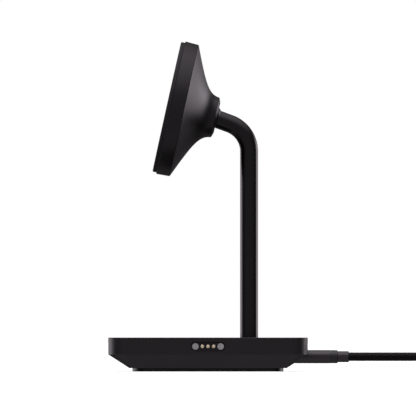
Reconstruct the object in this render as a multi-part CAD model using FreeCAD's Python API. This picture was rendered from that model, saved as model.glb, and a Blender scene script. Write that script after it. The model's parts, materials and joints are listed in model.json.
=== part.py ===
import FreeCAD, Part
import math
import os

# Wireless charging stand. Millimetres, +Z up, the front with the phone's face towards -Y, the supply cable
# at +Y and the contact port at +X. The origin is the centre of the foot pad's underside.

V = FreeCAD.Vector
X_AXIS = V(1, 0, 0)
Y_AXIS = V(0, 1, 0)
Z_AXIS = V(0, 0, 1)
ORIGIN = V(0, 0, 0)

# Base: a square box whose lower half draws in to the foot pad
base_width = 88.0
base_length = 88.0
base_height = 15.0
base_corner = 8.2
roof_round = 0.35
cover_height = 7.5
cover_wall = 2.0
cover_roof = 1.5
pan_inset = 9.3
pan_corner = 3.0
pan_wall = 3.0
pan_floor = 2.0
lip_height = 1.0
lip_wall = 0.9
foot_height = 1.5
foot_margin = 1.35
foot_corner = 8.0
seam_gap = 0.1
least_corner = 0.5

# Steel weight on the pan's floor
weight_clearance = 0.87
weight_margin = 3.0
weight_corner = 3.0

# Screws, each size with the gap round its head and in its thread
base_screw_inset = 16.0
base_screw_radius = 1.25
base_head_radius = 2.4
base_head_height = 1.8
base_tip_cover = 1.8
flange_screw_radius = 1.25
flange_head_radius = 2.0
flange_head_height = 1.5
flange_tip_cover = 1.0
board_screw_radius = 0.9
board_head_radius = 1.7
board_head_height = 1.1
board_tip_cover = 0.9
head_recess = 0.4
head_gap = 0.2
thread_gap = 0.05
post_wall = 1.4
boss_wall = 1.75
board_boss_wall = 1.3
drive_share = 0.5
drive_depth = 0.7

# Stem: a round tube, upright from the base and bent forward to the ball
stem_setback = 25.8
stem_radius = 4.0
stem_wall = 1.0
stem_gap = 0.15
bend_height = 97.55
bend_radius = 13.0
stem_rise = 20.0
ball_reach = 9.8
flange_thickness = 2.0
flange_half_depth = 6.5
hub_wall = 1.4
hub_gap = 0.2

# Ball joint between the stem and the head
ball_radius = 5.85
ball_gap = 0.08
cup_thickness = 0.67
spigot_length = 5.0
spigot_gap = 0.05
ball_bore = 1.6
lip_angle = 64.5
rear_cup_start = 66.0
rear_cup_end = 88.0
front_cup_start = 106.0
front_cup_end = 152.0

# Head: a bell with a rim in front and a neck behind. Depths run from the face backwards
face_lean = 12.5
ball_depth = 19.15
face_radius = 29.44
face_thickness = 1.86
face_round = 0.4
rim_radius = 30.08
rim_draft = 0.28
rim_depth = 7.9
rim_round = 0.5
neck_radius = 9.0
neck_depth = 21.95
flank_angle = 67.0
flank_pull = 18.0
neck_angle = 6.0
neck_pull = 5.0
bell_wall = 1.8
socket_wall = 1.1
ledge = 1.0
web_hole = 3.2
ring_depth = 22.8
ring_step = 0.1
ring_shoulder = 0.2
ring_flat_radius = 6.6
ring_mouth = 5.85
ring_bulge = 0.02
spigot_wall = 1.12
ring_setback = 0.25

# Charging parts in the head, stacked behind the face plate
plate_thickness = 1.2
plate_gap = 0.1
coil_inner = 10.0
coil_outer = 20.5
coil_thickness = 1.2
ferrite_radius = 21.5
ferrite_thickness = 0.8
magnet_inner = 22.8
magnet_outer = 26.6
magnet_thickness = 2.0
magnet_count = 18
magnet_spacing = 0.4
backplate_thickness = 0.6
backplate_lap = 0.2
head_board_radius = 16.0
head_board_thickness = 1.2
chip_half = 3.0
chip_height = 1.0
choke_radius = 3.2
choke_height = 2.2
capacitor_radius = 1.9
capacitor_height = 2.0
parts_spacing = 8.0

# Contact port in the +X side of the cover
port_drop = 3.93
port_length = 15.3
port_breadth = 4.2
port_recess = 0.4
port_gap = 0.1
port_flange = 1.6
port_flange_rise = 0.2
port_flange_thickness = 1.4
port_block_inset = 1.5
port_block_depth = 3.4
contact_pitch = 2.5
pin_radius = 0.85
pin_length = 3.9
pin_stand = 0.3
pin_dome = 0.6
barrel_wall = 0.15
barrel_gap = 0.05
barrel_skin = 0.7
barrel_length = 5.0
barrel_end = 0.4
tail_radius = 0.4
tail_length = 3.0
spring_wire = 0.2
spring_radius = 0.55
spring_turns = 4
spring_gap = 0.02
port_magnet_radius = 1.57
port_magnet_length = 1.9
port_magnet_offset = 5.56

# Main board in the front of the base
board_thickness = 1.2
board_left = -22.0
board_front_inset = 22.0
board_setback = 5.7
board_gap = 0.2
board_screw_inset = 3.5
board_screw_side = 14.0
lead_radius = 1.2
lead_bend = 4.0
lead_slot_gap = 0.4
socket_length = 4.0
socket_width = 5.0
socket_height = 2.5
socket_setback = 4.0
supply_radius = 1.3
supply_clearance = 1.0
supply_reach = 5.3
supply_swing = 0.66
supply_pass = 3.0
supply_lift = 0.1

# Supply cable: strain relief, run to the floor, tied coil and plug
gland_drop = 0.98
gland_radius = 2.95
gland_reach = 13.4
gland_groove_setback = 2.0
gland_groove_width = 0.6
gland_groove_depth = 0.25
gland_chamfer = 0.4
gland_gap = 0.05
collar_radius = 2.45
collar_length = 5.0
key_half_width = 4.5
key_thickness = 1.8
key_rise = 3.1
key_drop = 1.4
saddle_half_width = 5.5
saddle_lap = 0.3
cable_radius = 1.9
coil_outer_turn = 29.5
coil_inner_turn = 15.0
coil_layers = 2
coil_centre_y = 127.5
tie_thickness = 0.6
tie_width = 11.0
tie_angle = 115.0
grip_width = 11.6
grip_thickness = 6.5
grip_length = 19.0
grip_round = 2.6
nose_radius = 2.5
nose_length = 4.0
plug_width = 8.34
plug_thickness = 2.56
plug_length = 6.65
plug_wall = 0.3
tongue_thickness = 0.7
tongue_setback = 1.0

# Heights and places that follow from the sizes above
wall_x = base_width / 2
roof_under = base_height - cover_roof
seam_height = base_height - cover_height
floor_top = foot_height + pan_floor
port_height = base_height - port_drop
board_top = port_height - tail_radius
board_bottom = board_top - board_thickness
weight_top = board_bottom - board_head_height - weight_clearance
flange_screw_bite = weight_top - floor_top - flange_tip_cover
stem_offset = base_length / 2 - stem_setback
gland_height = seam_height - gland_drop
gland_end = base_length / 2 + gland_reach
collar_end = gland_end + collar_length
stem_bore = stem_radius - stem_wall
hub_radius = stem_radius + hub_wall
flange_screw_side = hub_radius + flange_head_radius + head_gap
flange_half_width = flange_screw_side + flange_head_radius + hub_gap
weight_rear = stem_offset + flange_half_depth + hub_gap
board_rear = stem_offset - flange_half_depth - board_setback
board_front = board_front_inset - base_length / 2
socket_place = board_rear - socket_setback
port_front = wall_x - port_recess
port_inner = wall_x - cover_wall
port_rear = port_inner - port_flange_thickness - port_block_depth
board_right = port_rear - board_gap
lead_height = board_top + lead_radius
key_bottom = gland_height - key_drop
slope_run = pan_inset * (seam_height - key_bottom) / (seam_height - foot_height)
saddle_front = base_length / 2 - slope_run - pan_wall - saddle_lap
key_rear = saddle_front - seam_gap
key_front = key_rear - key_thickness
contact_places = [-contact_pitch, 0.0, contact_pitch]
seat_radius = ball_radius + 2 * ball_gap + cup_thickness
stem_turn = 90.0 - stem_rise
bend_centre_y = stem_offset - bend_radius
bend_end = V(
    0,
    bend_centre_y + bend_radius * math.cos(math.radians(stem_turn)),
    bend_height + bend_radius * math.sin(math.radians(stem_turn)),
)
stem_forward = V(0, -math.cos(math.radians(stem_rise)), math.sin(math.radians(stem_rise)))
ball_centre = bend_end + stem_forward * ball_reach
ball_shoulder = math.sqrt(ball_radius**2 - stem_radius**2)
head_backward = V(0, math.cos(math.radians(face_lean)), -math.sin(math.radians(face_lean)))
face_centre = ball_centre - head_backward * ball_depth
plate_rear = face_thickness + plate_thickness
cavity_radius = magnet_outer + backplate_lap + plate_gap
plate_seat_radius = cavity_radius + ledge
socket_front = ball_depth - seat_radius - socket_wall
ferrite_rear = plate_rear + coil_thickness + ferrite_thickness
head_board_rear = ferrite_rear + head_board_thickness
spigot_radius = seat_radius + spigot_wall
head_place = FreeCAD.Placement(face_centre, FreeCAD.Rotation(X_AXIS, -(90 + face_lean)))
joint_place = FreeCAD.Placement(ball_centre, FreeCAD.Rotation(X_AXIS, -(90 + face_lean)))
stud_place = FreeCAD.Placement(ball_centre, FreeCAD.Rotation(X_AXIS, -(90 + stem_rise)))
coil_bottom = tie_thickness
coil_top = coil_bottom + 2 * cable_radius * coil_layers
coil_centre = V(-coil_outer_turn, coil_centre_y, 0)

# The cable's route where it isn't coiled: first its straight stretch, level with the strain relief
run_points = [
    V(0, collar_end, gland_height),
    V(0, 99.0, gland_height),
    V(0, 112.5, 4.1),
    V(0, coil_centre_y, tie_thickness + cable_radius),
]
tail_points = [
    V(-58.8, 134.4, 6.3),
    V(-59.0, 120.6, 7.8),
    V(-50.9, 109.4, 10.8),
    V(-37.8, 105.2, 11.3),
    V(-24.7, 109.4, 11.45),
    V(-16.6, 120.6, 11.45),
    V(-15.0, 130.0, 11.45),
]
arc_share = 0.45
plug_way = tail_points[-1] - tail_points[-2]
plug_heading = math.degrees(math.atan2(plug_way.y, plug_way.x))


def line(start, end):
    """Straight edge between two points."""
    return Part.LineSegment(start, end).toShape()


def arc(start, middle, end):
    """Round edge through three points."""
    return Part.Arc(start, middle, end).toShape()


def polar(radius, degrees):
    """Point of a turned profile at a radius and an angle from the axis that points backwards."""
    turn = math.radians(degrees)
    return V(radius * math.sin(turn), 0, radius * math.cos(turn))


def box(x0, x1, y0, y1, z0, z1):
    """Box between two corners."""
    return Part.makeBox(x1 - x0, y1 - y0, z1 - z0, V(x0, y0, z0))


def post(radius, x, y, z0, z1):
    """Upright cylinder between two heights."""
    return Part.makeCylinder(radius, z1 - z0, V(x, y, z0), Z_AXIS)


def rounded_outline(width, length, corner, z, shift=0.0):
    """Level rectangle with round corners, its middle shifted along Y."""
    edges = []
    last = None
    first = None
    for quarter, (side_x, side_y) in enumerate([(1, 1), (-1, 1), (-1, -1), (1, -1)]):
        middle = V(side_x * (width / 2 - corner), side_y * (length / 2 - corner) + shift, z)
        turns = [math.radians(90 * quarter + step) for step in (0, 45, 90)]
        points = [middle + V(math.cos(t), math.sin(t), 0) * corner for t in turns]
        if last:
            edges.append(line(last, points[0]))
        first = first or points[0]
        edges.append(arc(*points))
        last = points[2]
    edges.append(line(last, first))
    return Part.Wire(edges)


def rounded_plate(width, length, corner, z0, z1, shift=0.0):
    """Plate with round upright corners between two heights."""
    return Part.Face(rounded_outline(width, length, corner, z0, shift)).extrude(V(0, 0, z1 - z0))


def side_stadium(length, breadth, x0, x1):
    """Slot-shaped block along X with round ends, at the port's height."""
    half = length / 2 - breadth / 2
    high = port_height + breadth / 2
    low = port_height - breadth / 2
    edges = [
        line(V(x0, -half, low), V(x0, half, low)),
        arc(V(x0, half, low), V(x0, half + breadth / 2, port_height), V(x0, half, high)),
        line(V(x0, half, high), V(x0, -half, high)),
        arc(V(x0, -half, high), V(x0, -half - breadth / 2, port_height), V(x0, -half, low)),
    ]
    return Part.Face(Part.Wire(edges)).extrude(V(x1 - x0, 0, 0))


def turned(edges, place):
    """Solid turned about the profile's axis and put in its place."""
    solid = Part.Face(Part.Wire(edges)).revolve(ORIGIN, Z_AXIS, 360)
    solid.Placement = place
    return solid


def disc(inner, outer, depth, rear, place):
    """Flat disc or ring between two depths of the head."""
    solid = Part.makeCylinder(outer, rear - depth, V(0, 0, depth), Z_AXIS)
    if inner > 0:
        solid = solid.cut(Part.makeCylinder(inner, rear - depth, V(0, 0, depth), Z_AXIS))
    solid.Placement = place
    return solid


def cup(start, end):
    """Zone of a hollow sphere round the ball, between two angles from the axis."""
    inner = ball_radius + ball_gap
    outer = inner + cup_thickness
    middle = (start + end) / 2
    edges = [
        arc(polar(inner, start), polar(inner, middle), polar(inner, end)),
        line(polar(inner, end), polar(outer, end)),
        arc(polar(outer, end), polar(outer, middle), polar(outer, start)),
        line(polar(outer, start), polar(inner, start)),
    ]
    return turned(edges, joint_place)


def pipe(edges, radius):
    """Round rod along a smooth path."""
    path = Part.Wire(edges)
    first = edges[0]
    start = first.valueAt(first.FirstParameter)
    tangent = first.tangentAt(first.FirstParameter)
    profile = Part.Wire(Part.makeCircle(radius, start, tangent))
    return path.makePipeShell([profile], True, False)


def rounded_path(points):
    """Straight runs joined by arcs as large as the runs allow, and the arcs' radii."""
    edges = []
    radii = []
    start = points[0]
    for before, corner, after in zip(points, points[1:], points[2:]):
        back = before - corner
        ahead = after - corner
        setback = arc_share * min(back.Length, ahead.Length)
        turn = math.pi - back.getAngle(ahead)
        radius = setback / math.tan(turn / 2)
        into = corner + back.normalize() * setback
        out = corner + ahead.normalize() * setback
        inward = (back + ahead).normalize()
        middle = corner + inward * (radius / math.cos(turn / 2) - radius)
        edges.append(line(start, into))
        edges.append(arc(into, middle, out))
        radii.append(radius)
        start = out
    edges.append(line(start, points[-1]))
    return edges, radii


def cord_tube(name, points, radius):
    """Tube of a cord along its route, with its bends printed."""
    edges, radii = rounded_path(points)
    tube = pipe(edges, radius)
    section = math.pi * radius**2
    length = sum(edge.Length for edge in edges)
    print(name, "radii", [round(r, 1) for r in radii], "length", round(length, 1))
    print(name, "volume over section times length", round(tube.Volume / (section * length), 4))
    return tube


def screw(radius, head_radius, head_height, length):
    """Cylinder-head screw along +Z, its seat at the origin and a square drive in its head."""
    shank = Part.makeCylinder(radius, length)
    head = Part.makeCylinder(head_radius, head_height, V(0, 0, -head_height))
    half = head_radius * drive_share
    drive = box(-half, half, -half, half, -head_height, drive_depth - head_height)
    return shank.fuse(head.cut(drive)).removeSplitter()


def placed(shape, x, y, z):
    """Copy of a shape moved to a point."""
    copy = shape.copy()
    copy.translate(V(x, y, z))
    return copy


def pan_half(side, z):
    """Half the pan's outer width at a height on its slope."""
    return side / 2 - pan_inset * (seam_height - z) / (seam_height - foot_height)


def pan_corner_at(z):
    """Corner radius of the pan's slope at a height."""
    return pan_corner + (base_corner - pan_corner) * (z - foot_height) / (seam_height - foot_height)


def base_screw_places():
    """The four screws near the base's corners."""
    x = base_width / 2 - base_screw_inset
    y = base_length / 2 - base_screw_inset
    return [(x, y), (-x, y), (-x, -y), (x, -y)]


def board_screw_places():
    """The screws of the main board: two in front and one behind."""
    front = board_front + board_screw_inset
    rear = board_rear - board_screw_inset
    return [
        (board_left + board_screw_inset, front),
        (board_right - board_screw_inset, front),
        (board_screw_side, rear),
    ]


def gland_bore():
    """Hole through the rear wall for the strain relief."""
    start = V(0, key_front - seam_gap, gland_height)
    return Part.makeCylinder(gland_radius + gland_gap, base_length / 2, start, Y_AXIS)


def base_cover():
    """Upper shell of the base: roof, upright walls, bosses, port slot and upper half of the cable saddle."""
    block = rounded_plate(base_width, base_length, base_corner, seam_height, base_height)
    top_edges = [e for e in block.Edges if e.BoundBox.ZMin > base_height - least_corner]
    block = block.makeFillet(roof_round, top_edges)
    inner_corner = max(base_corner - cover_wall, least_corner)
    inside = rounded_plate(
        base_width - 2 * cover_wall, base_length - 2 * cover_wall, inner_corner, seam_height, roof_under
    )
    shell = block.cut(inside)
    ribs = [
        box(
            -saddle_half_width,
            saddle_half_width,
            saddle_front,
            base_length / 2 - cover_wall,
            seam_height,
            roof_under,
        )
    ]
    holes = [gland_bore(), side_stadium(port_length, port_breadth, port_inner - seam_gap, wall_x + seam_gap)]
    for x, y in base_screw_places():
        ribs.append(post(base_screw_radius + boss_wall, x, y, seam_height + seam_gap, roof_under))
        thread = base_screw_radius + thread_gap
        holes.append(post(thread, x, y, seam_height, roof_under - base_tip_cover / 2))
    for x, y in board_screw_places():
        ribs.append(post(board_screw_radius + board_boss_wall, x, y, board_top, roof_under))
        thread = board_screw_radius + thread_gap
        holes.append(post(thread, x, y, board_top, roof_under - board_tip_cover / 2))
    holes.append(post(stem_radius + stem_gap, 0, stem_offset, roof_under - seam_gap, base_height + seam_gap))
    return shell.fuse(ribs).cut(holes).removeSplitter()


def pan_slope(inset, z0, z1):
    """Solid between two heights of the pan's slope, drawn in level by an inset."""
    outlines = []
    for z in (z0, z1):
        corner = max(pan_corner_at(z) - inset, least_corner)
        width = 2 * (pan_half(base_width, z) - inset)
        length = 2 * (pan_half(base_length, z) - inset)
        outlines.append(rounded_outline(width, length, corner, z))
    return Part.makeLoft(outlines, True, True)


def base_pan():
    """Lower shell of the base: slanted walls, floor, locating lip, screw posts and half of the saddle."""
    outside = pan_slope(0.0, foot_height, seam_height)
    shell = outside.cut(pan_slope(pan_wall, floor_top, seam_height))
    lip_inset = cover_wall + seam_gap
    lip = rounded_plate(
        base_width - 2 * lip_inset,
        base_length - 2 * lip_inset,
        max(base_corner - lip_inset, least_corner),
        seam_height,
        seam_height + lip_height,
    )
    inner_inset = lip_inset + lip_wall
    lip = lip.cut(
        rounded_plate(
            base_width - 2 * inner_inset,
            base_length - 2 * inner_inset,
            max(base_corner - inner_inset, least_corner),
            seam_height,
            seam_height + lip_height,
        )
    )
    notch = saddle_half_width + seam_gap
    lip_top = seam_height + 2 * lip_height
    lip = lip.cut(box(-notch, notch, saddle_front, base_length / 2, seam_height, lip_top))
    port_notch = port_length / 2 + port_flange + port_gap
    lip = lip.cut(box(port_inner - pan_wall, wall_x, -port_notch, port_notch, seam_height, lip_top))
    saddle = box(
        -saddle_half_width, saddle_half_width, saddle_front, base_length / 2, floor_top, seam_height
    ).common(outside)
    solids = [lip, saddle]
    holes = [gland_bore()]
    head_seat = foot_height + head_recess + base_head_height
    counterbore = base_head_radius + head_gap
    for x, y in base_screw_places():
        solids.append(post(counterbore + post_wall, x, y, foot_height, seam_height))
        holes.append(post(counterbore, x, y, foot_height, head_seat))
        holes.append(post(base_screw_radius + head_gap, x, y, foot_height, seam_height))
    return shell.fuse(solids).cut(holes).removeSplitter()


def foot_pad():
    """Soft pad under the pan."""
    width = 2 * (pan_half(base_width, foot_height) - foot_margin)
    length = 2 * (pan_half(base_length, foot_height) - foot_margin)
    return rounded_plate(width, length, foot_corner, 0.0, foot_height)


def base_weight():
    """Steel plate on the pan's floor, cleared round the screw posts and drilled for the stem flange."""
    half_width = pan_half(base_width, floor_top) - pan_wall - weight_margin
    front = -(pan_half(base_length, floor_top) - pan_wall - weight_margin)
    length = weight_rear - front
    middle = (weight_rear + front) / 2
    plate = rounded_plate(2 * half_width, length, weight_corner, floor_top, weight_top, middle)
    clear = base_head_radius + head_gap + post_wall + board_gap
    holes = [post(clear, x, y, floor_top, weight_top) for x, y in base_screw_places()]
    for side in (-1, 1):
        x = side * flange_screw_side
        bottom = weight_top - flange_screw_bite - thread_gap
        holes.append(post(flange_screw_radius + thread_gap, x, stem_offset, bottom, weight_top))
    return plate.cut(holes)


def base_screws():
    """Four screws from under the pan into the cover's bosses."""
    seat = foot_height + head_recess + base_head_height
    one = screw(base_screw_radius, base_head_radius, base_head_height, roof_under - base_tip_cover - seat)
    return [placed(one, x, y, seat) for x, y in base_screw_places()]


def stem_flange():
    """Foot of the stem: a flat flange on the weight with a hub round the tube, slotted for the lead."""
    middle_width = 2 * flange_half_width
    plate = rounded_plate(
        middle_width,
        2 * flange_half_depth,
        flange_half_depth - least_corner,
        weight_top,
        weight_top + flange_thickness,
        stem_offset,
    )
    hub = post(hub_radius, 0, stem_offset, weight_top, roof_under - hub_gap)
    holes = [post(stem_radius, 0, stem_offset, weight_top, roof_under)]
    for side in (-1, 1):
        x = side * flange_screw_side
        holes.append(post(flange_screw_radius + head_gap, x, stem_offset, weight_top, roof_under))
    holes.append(lead_slot(hub_radius))
    return plate.fuse(hub).cut(holes).removeSplitter()


def lead_slot(reach):
    """Opening in the front of the hub and the tube through which the lead leaves."""
    half = lead_radius + lead_slot_gap
    low = lead_height - half
    return box(-half, half, stem_offset - reach - least_corner, stem_offset, low, roof_under)


def flange_screws():
    """Two screws through the stem flange into the weight."""
    one = screw(
        flange_screw_radius, flange_head_radius, flange_head_height, flange_thickness + flange_screw_bite
    )
    one.rotate(ORIGIN, X_AXIS, 180)
    seat = weight_top + flange_thickness
    return [placed(one, side * flange_screw_side, stem_offset, seat) for side in (-1, 1)]


def stem_path(bottom, reach):
    """Centreline of the stem from a height in the base, round the bend and along the end's lean."""
    half = math.radians(stem_turn / 2)
    middle = V(
        0, bend_centre_y + bend_radius * math.cos(half), bend_height + bend_radius * math.sin(half)
    )
    upright_end = V(0, stem_offset, bend_height)
    return [
        line(V(0, stem_offset, bottom), upright_end),
        arc(upright_end, middle, bend_end),
        line(bend_end, bend_end + stem_forward * reach),
    ]


def stem_tube():
    """Bent tube from the weight to the ball's shoulder."""
    path = stem_path(weight_top, ball_reach - ball_shoulder)
    tube = pipe(path, stem_radius).cut(pipe(path, stem_bore))
    return tube.cut(lead_slot(stem_radius))


def stem_lead():
    """Lead from the main board, in through the slot and up the stem into the ball."""
    corner_y = stem_offset - lead_bend
    corner_z = lead_height + lead_bend
    half = lead_bend * math.sqrt(0.5)
    bend = arc(
        V(0, corner_y, lead_height),
        V(0, corner_y + half, corner_z - half),
        V(0, stem_offset, corner_z),
    )
    level = line(V(0, socket_place, lead_height), V(0, corner_y, lead_height))
    return pipe([level, bend] + stem_path(corner_z, ball_reach + ball_radius / 2), lead_radius)


def ball_stud():
    """Ball with a flat shoulder for the tube's end, a spigot inside the tube and a bore for the lead."""
    ball = Part.makeSphere(ball_radius)
    ball = ball.cut(Part.makeCylinder(2 * ball_radius, ball_radius, V(0, 0, ball_shoulder), Z_AXIS))
    spigot = Part.makeCylinder(stem_bore - spigot_gap, ball_shoulder + spigot_length)
    bore = Part.makeCylinder(ball_bore, 4 * ball_radius, V(0, 0, -2 * ball_radius), Z_AXIS)
    stud = ball.fuse(spigot).cut(bore).removeSplitter()
    stud.Placement = stud_place
    return stud


def ball_front_cup():
    """Friction cup in front of the ball."""
    return cup(front_cup_start, front_cup_end)


def ball_rear_cup():
    """Friction cup behind the ball, in the neck ring."""
    return cup(rear_cup_start, rear_cup_end)


def neck_ring():
    """Ring screwed into the neck: spigot with a pocket for the rear cup, lip over the ball, domed end."""
    lip_radius = ball_radius + ball_gap
    front_radius = math.sqrt(seat_radius**2 - ring_setback**2)
    front_angle = math.degrees(math.acos(ring_setback / seat_radius))
    rear = ring_depth - ball_depth
    flange = neck_depth - ball_depth
    step_radius = neck_radius - ring_step
    dome_start = V(neck_radius - ring_shoulder, 0, flange + ring_step)
    dome_end = V(ring_flat_radius, 0, rear)
    bulge = V(dome_start.x - dome_end.x, 0, dome_end.z - dome_start.z) * ring_bulge
    dome_middle = (dome_start + dome_end) * 0.5 + V(bulge.z, 0, bulge.x)
    edges = [
        arc(
            V(front_radius, 0, ring_setback),
            polar(seat_radius, (front_angle + lip_angle) / 2),
            polar(seat_radius, lip_angle),
        ),
        line(polar(seat_radius, lip_angle), polar(lip_radius, lip_angle)),
        line(polar(lip_radius, lip_angle), V(ring_mouth, 0, rear)),
        line(V(ring_mouth, 0, rear), dome_end),
        arc(dome_end, dome_middle, dome_start),
        line(dome_start, V(step_radius, 0, flange)),
        line(V(step_radius, 0, flange), V(spigot_radius, 0, flange)),
        line(V(spigot_radius, 0, flange), V(spigot_radius, 0, ring_setback)),
        line(V(spigot_radius, 0, ring_setback), V(front_radius, 0, ring_setback)),
    ]
    return turned(edges, joint_place)


def bell_outline():
    """Half section of the bell's outside, from the face to the neck's end."""
    rim_rear = rim_radius - rim_draft
    flank = math.radians(flank_angle)
    neck = math.radians(neck_angle)
    corner = V(rim_rear, 0, rim_depth)
    end = V(neck_radius, 0, neck_depth)
    flank_handle = corner + V(-math.sin(flank), 0, math.cos(flank)) * flank_pull
    neck_handle = end - V(-math.sin(neck), 0, math.cos(neck)) * neck_pull
    sweep = Part.BezierCurve()
    sweep.setPoles([corner, flank_handle, neck_handle, end])
    front = V(rim_radius, 0, face_thickness)
    return [
        line(V(0, 0, face_thickness), front),
        line(front, corner),
        sweep.toShape(),
        line(end, V(0, 0, neck_depth)),
        line(V(0, 0, neck_depth), V(0, 0, face_thickness)),
    ]


def bell_cavity():
    """Half section of the hollow in front of the ball's socket."""
    flank = math.radians(flank_angle)
    inward = V(-math.cos(flank), 0, -math.sin(flank)) * bell_wall
    along = V(-math.sin(flank), 0, math.cos(flank))
    start = V(rim_radius - rim_draft, 0, rim_depth) + inward
    side = start + along * ((start.x - cavity_radius) / -along.x)
    floor = start + along * ((socket_front - start.z) / along.z)
    points = [
        V(0, 0, face_thickness),
        V(plate_seat_radius, 0, face_thickness),
        V(plate_seat_radius, 0, plate_rear),
        V(cavity_radius, 0, plate_rear),
        side,
        floor,
        V(0, 0, socket_front),
    ]
    return [line(a, b) for a, b in zip(points, points[1:] + points[:1])]


def head_bell():
    """Bell-shaped housing of the head: rim, flank and neck in one piece, with the ball's seat inside."""
    body = turned(bell_outline(), FreeCAD.Placement())
    rim_edges = []
    for edge in body.Edges:
        bounds = edge.BoundBox
        if abs(bounds.ZMin - rim_depth) < least_corner and bounds.ZLength < least_corner:
            rim_edges.append(edge)
    body = body.makeFillet(rim_round, rim_edges)
    hollow = turned(bell_cavity(), FreeCAD.Placement())
    seat = Part.makeSphere(seat_radius, V(0, 0, ball_depth))
    way = Part.makeCylinder(web_hole, ball_depth - socket_front, V(0, 0, socket_front), Z_AXIS)
    bore_start = ball_depth + ring_setback - spigot_gap
    bore_radius = spigot_radius + spigot_gap
    bore = Part.makeCylinder(bore_radius, ring_depth - bore_start, V(0, 0, bore_start), Z_AXIS)
    bell = body.cut([hollow, seat, way, bore])
    bell.Placement = head_place
    return bell


def face_pad():
    """Soft pad that the phone lies on."""
    pad = Part.makeCylinder(face_radius, face_thickness)
    front_edges = [e for e in pad.Edges if e.BoundBox.ZMax < face_round]
    pad = pad.makeFillet(face_round, front_edges)
    pad.Placement = head_place
    return pad


def face_plate():
    """Stiff plate under the face pad, seated on the bell's ledge."""
    return disc(0, plate_seat_radius - plate_gap, face_thickness, plate_rear, head_place)


def charging_coil():
    """Flat winding behind the face plate."""
    return disc(coil_inner, coil_outer, plate_rear, plate_rear + coil_thickness, head_place)


def ferrite_shield():
    """Shield disc behind the winding."""
    return disc(0, ferrite_radius, plate_rear + coil_thickness, ferrite_rear, head_place)


def alignment_magnets():
    """Ring of magnet segments round the winding."""
    pitch = 360.0 / magnet_count
    gap = math.degrees(magnet_spacing / magnet_inner)
    ring = []
    for index in range(magnet_count):
        outer = Part.makeCylinder(magnet_outer, magnet_thickness, V(0, 0, plate_rear), Z_AXIS, pitch - gap)
        inner = Part.makeCylinder(magnet_inner, magnet_thickness, V(0, 0, plate_rear), Z_AXIS)
        segment = outer.cut(inner)
        segment.rotate(ORIGIN, Z_AXIS, index * pitch)
        segment.Placement = head_place.multiply(segment.Placement)
        ring.append(segment)
    return ring


def magnet_backplate():
    """Steel ring behind the magnets."""
    front = plate_rear + magnet_thickness
    return disc(
        magnet_inner - backplate_lap,
        magnet_outer + backplate_lap,
        front,
        front + backplate_thickness,
        head_place,
    )


def head_board():
    """Round board behind the shield."""
    return disc(0, head_board_radius, ferrite_rear, head_board_rear, head_place)


def head_board_parts():
    """Parts on the back of the head's board: a driver chip, a choke and two capacitors."""
    chip = box(
        -parts_spacing - chip_half,
        -parts_spacing + chip_half,
        -chip_half,
        chip_half,
        head_board_rear,
        head_board_rear + chip_height,
    )
    choke = Part.makeCylinder(choke_radius, choke_height, V(parts_spacing, 0, head_board_rear), Z_AXIS)
    capacitors = []
    for side in (-1, 1):
        seat = V(0, side * parts_spacing, head_board_rear)
        capacitors.append(Part.makeCylinder(capacitor_radius, capacitor_height, seat, Z_AXIS))
    solids = [chip, choke] + capacitors
    for solid in solids:
        solid.Placement = head_place.multiply(solid.Placement)
    return solids


def head_lead():
    """End of the lead, from the ball's front to the head's board."""
    end = ball_depth - ball_radius - lead_slot_gap
    lead = Part.makeCylinder(lead_radius, end - head_board_rear, V(0, 0, head_board_rear), Z_AXIS)
    lead.Placement = head_place
    return lead


def main_board():
    """Board in the front of the base, drilled for its screws."""
    plate = box(board_left, board_right, board_front, board_rear, board_bottom, board_top)
    hole = board_screw_radius + thread_gap
    return plate.cut([post(hole, x, y, board_bottom, board_top) for x, y in board_screw_places()])


def supply_side():
    """Where the supply lead passes the stem flange."""
    return -(flange_half_width + supply_radius + supply_clearance)


def board_parts():
    """Parts on the main board: the two lead sockets, a controller, a choke and a capacitor."""
    socket_top = board_top + socket_height
    solids = []
    for x in (0.0, supply_side()):
        half = socket_width / 2
        socket_front = socket_place - socket_length
        solids.append(box(x - half, x + half, socket_front, socket_place, board_top, socket_top))
    middle = (board_front + socket_place - socket_length) / 2
    chip_top = board_top + chip_height
    solids.append(box(-chip_half, chip_half, middle - chip_half, middle + chip_half, board_top, chip_top))
    solids.append(post(choke_radius, board_screw_side, middle, board_top, board_top + choke_height))
    capacitor_x = board_screw_side + parts_spacing
    solids.append(post(capacitor_radius, capacitor_x, middle, board_top, board_top + capacitor_height))
    return solids


def board_screws():
    """Screws that hold the main board up to the cover's bosses."""
    length = roof_under - board_tip_cover - board_bottom
    one = screw(board_screw_radius, board_head_radius, board_head_height, length)
    return [placed(one, x, y, board_bottom) for x, y in board_screw_places()]


def supply_lead():
    """Lead from the strain relief over the weight and past the stem flange to the main board."""
    side = supply_side()
    over_weight = weight_top + supply_radius + supply_clearance
    on_board = board_top + supply_radius + thread_gap
    points = [
        V(0, key_front, gland_height),
        V(0, key_front - supply_reach, gland_height),
        V(side * supply_swing, weight_rear + supply_clearance, over_weight),
        V(side, stem_offset + supply_pass, over_weight + supply_lift),
        V(side, stem_offset - supply_pass, over_weight + 2 * supply_lift),
        V(side, board_rear + board_setback / 2, on_board),
        V(side, socket_place, on_board),
    ]
    return cord_tube("supply_lead", points, supply_radius)


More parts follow.
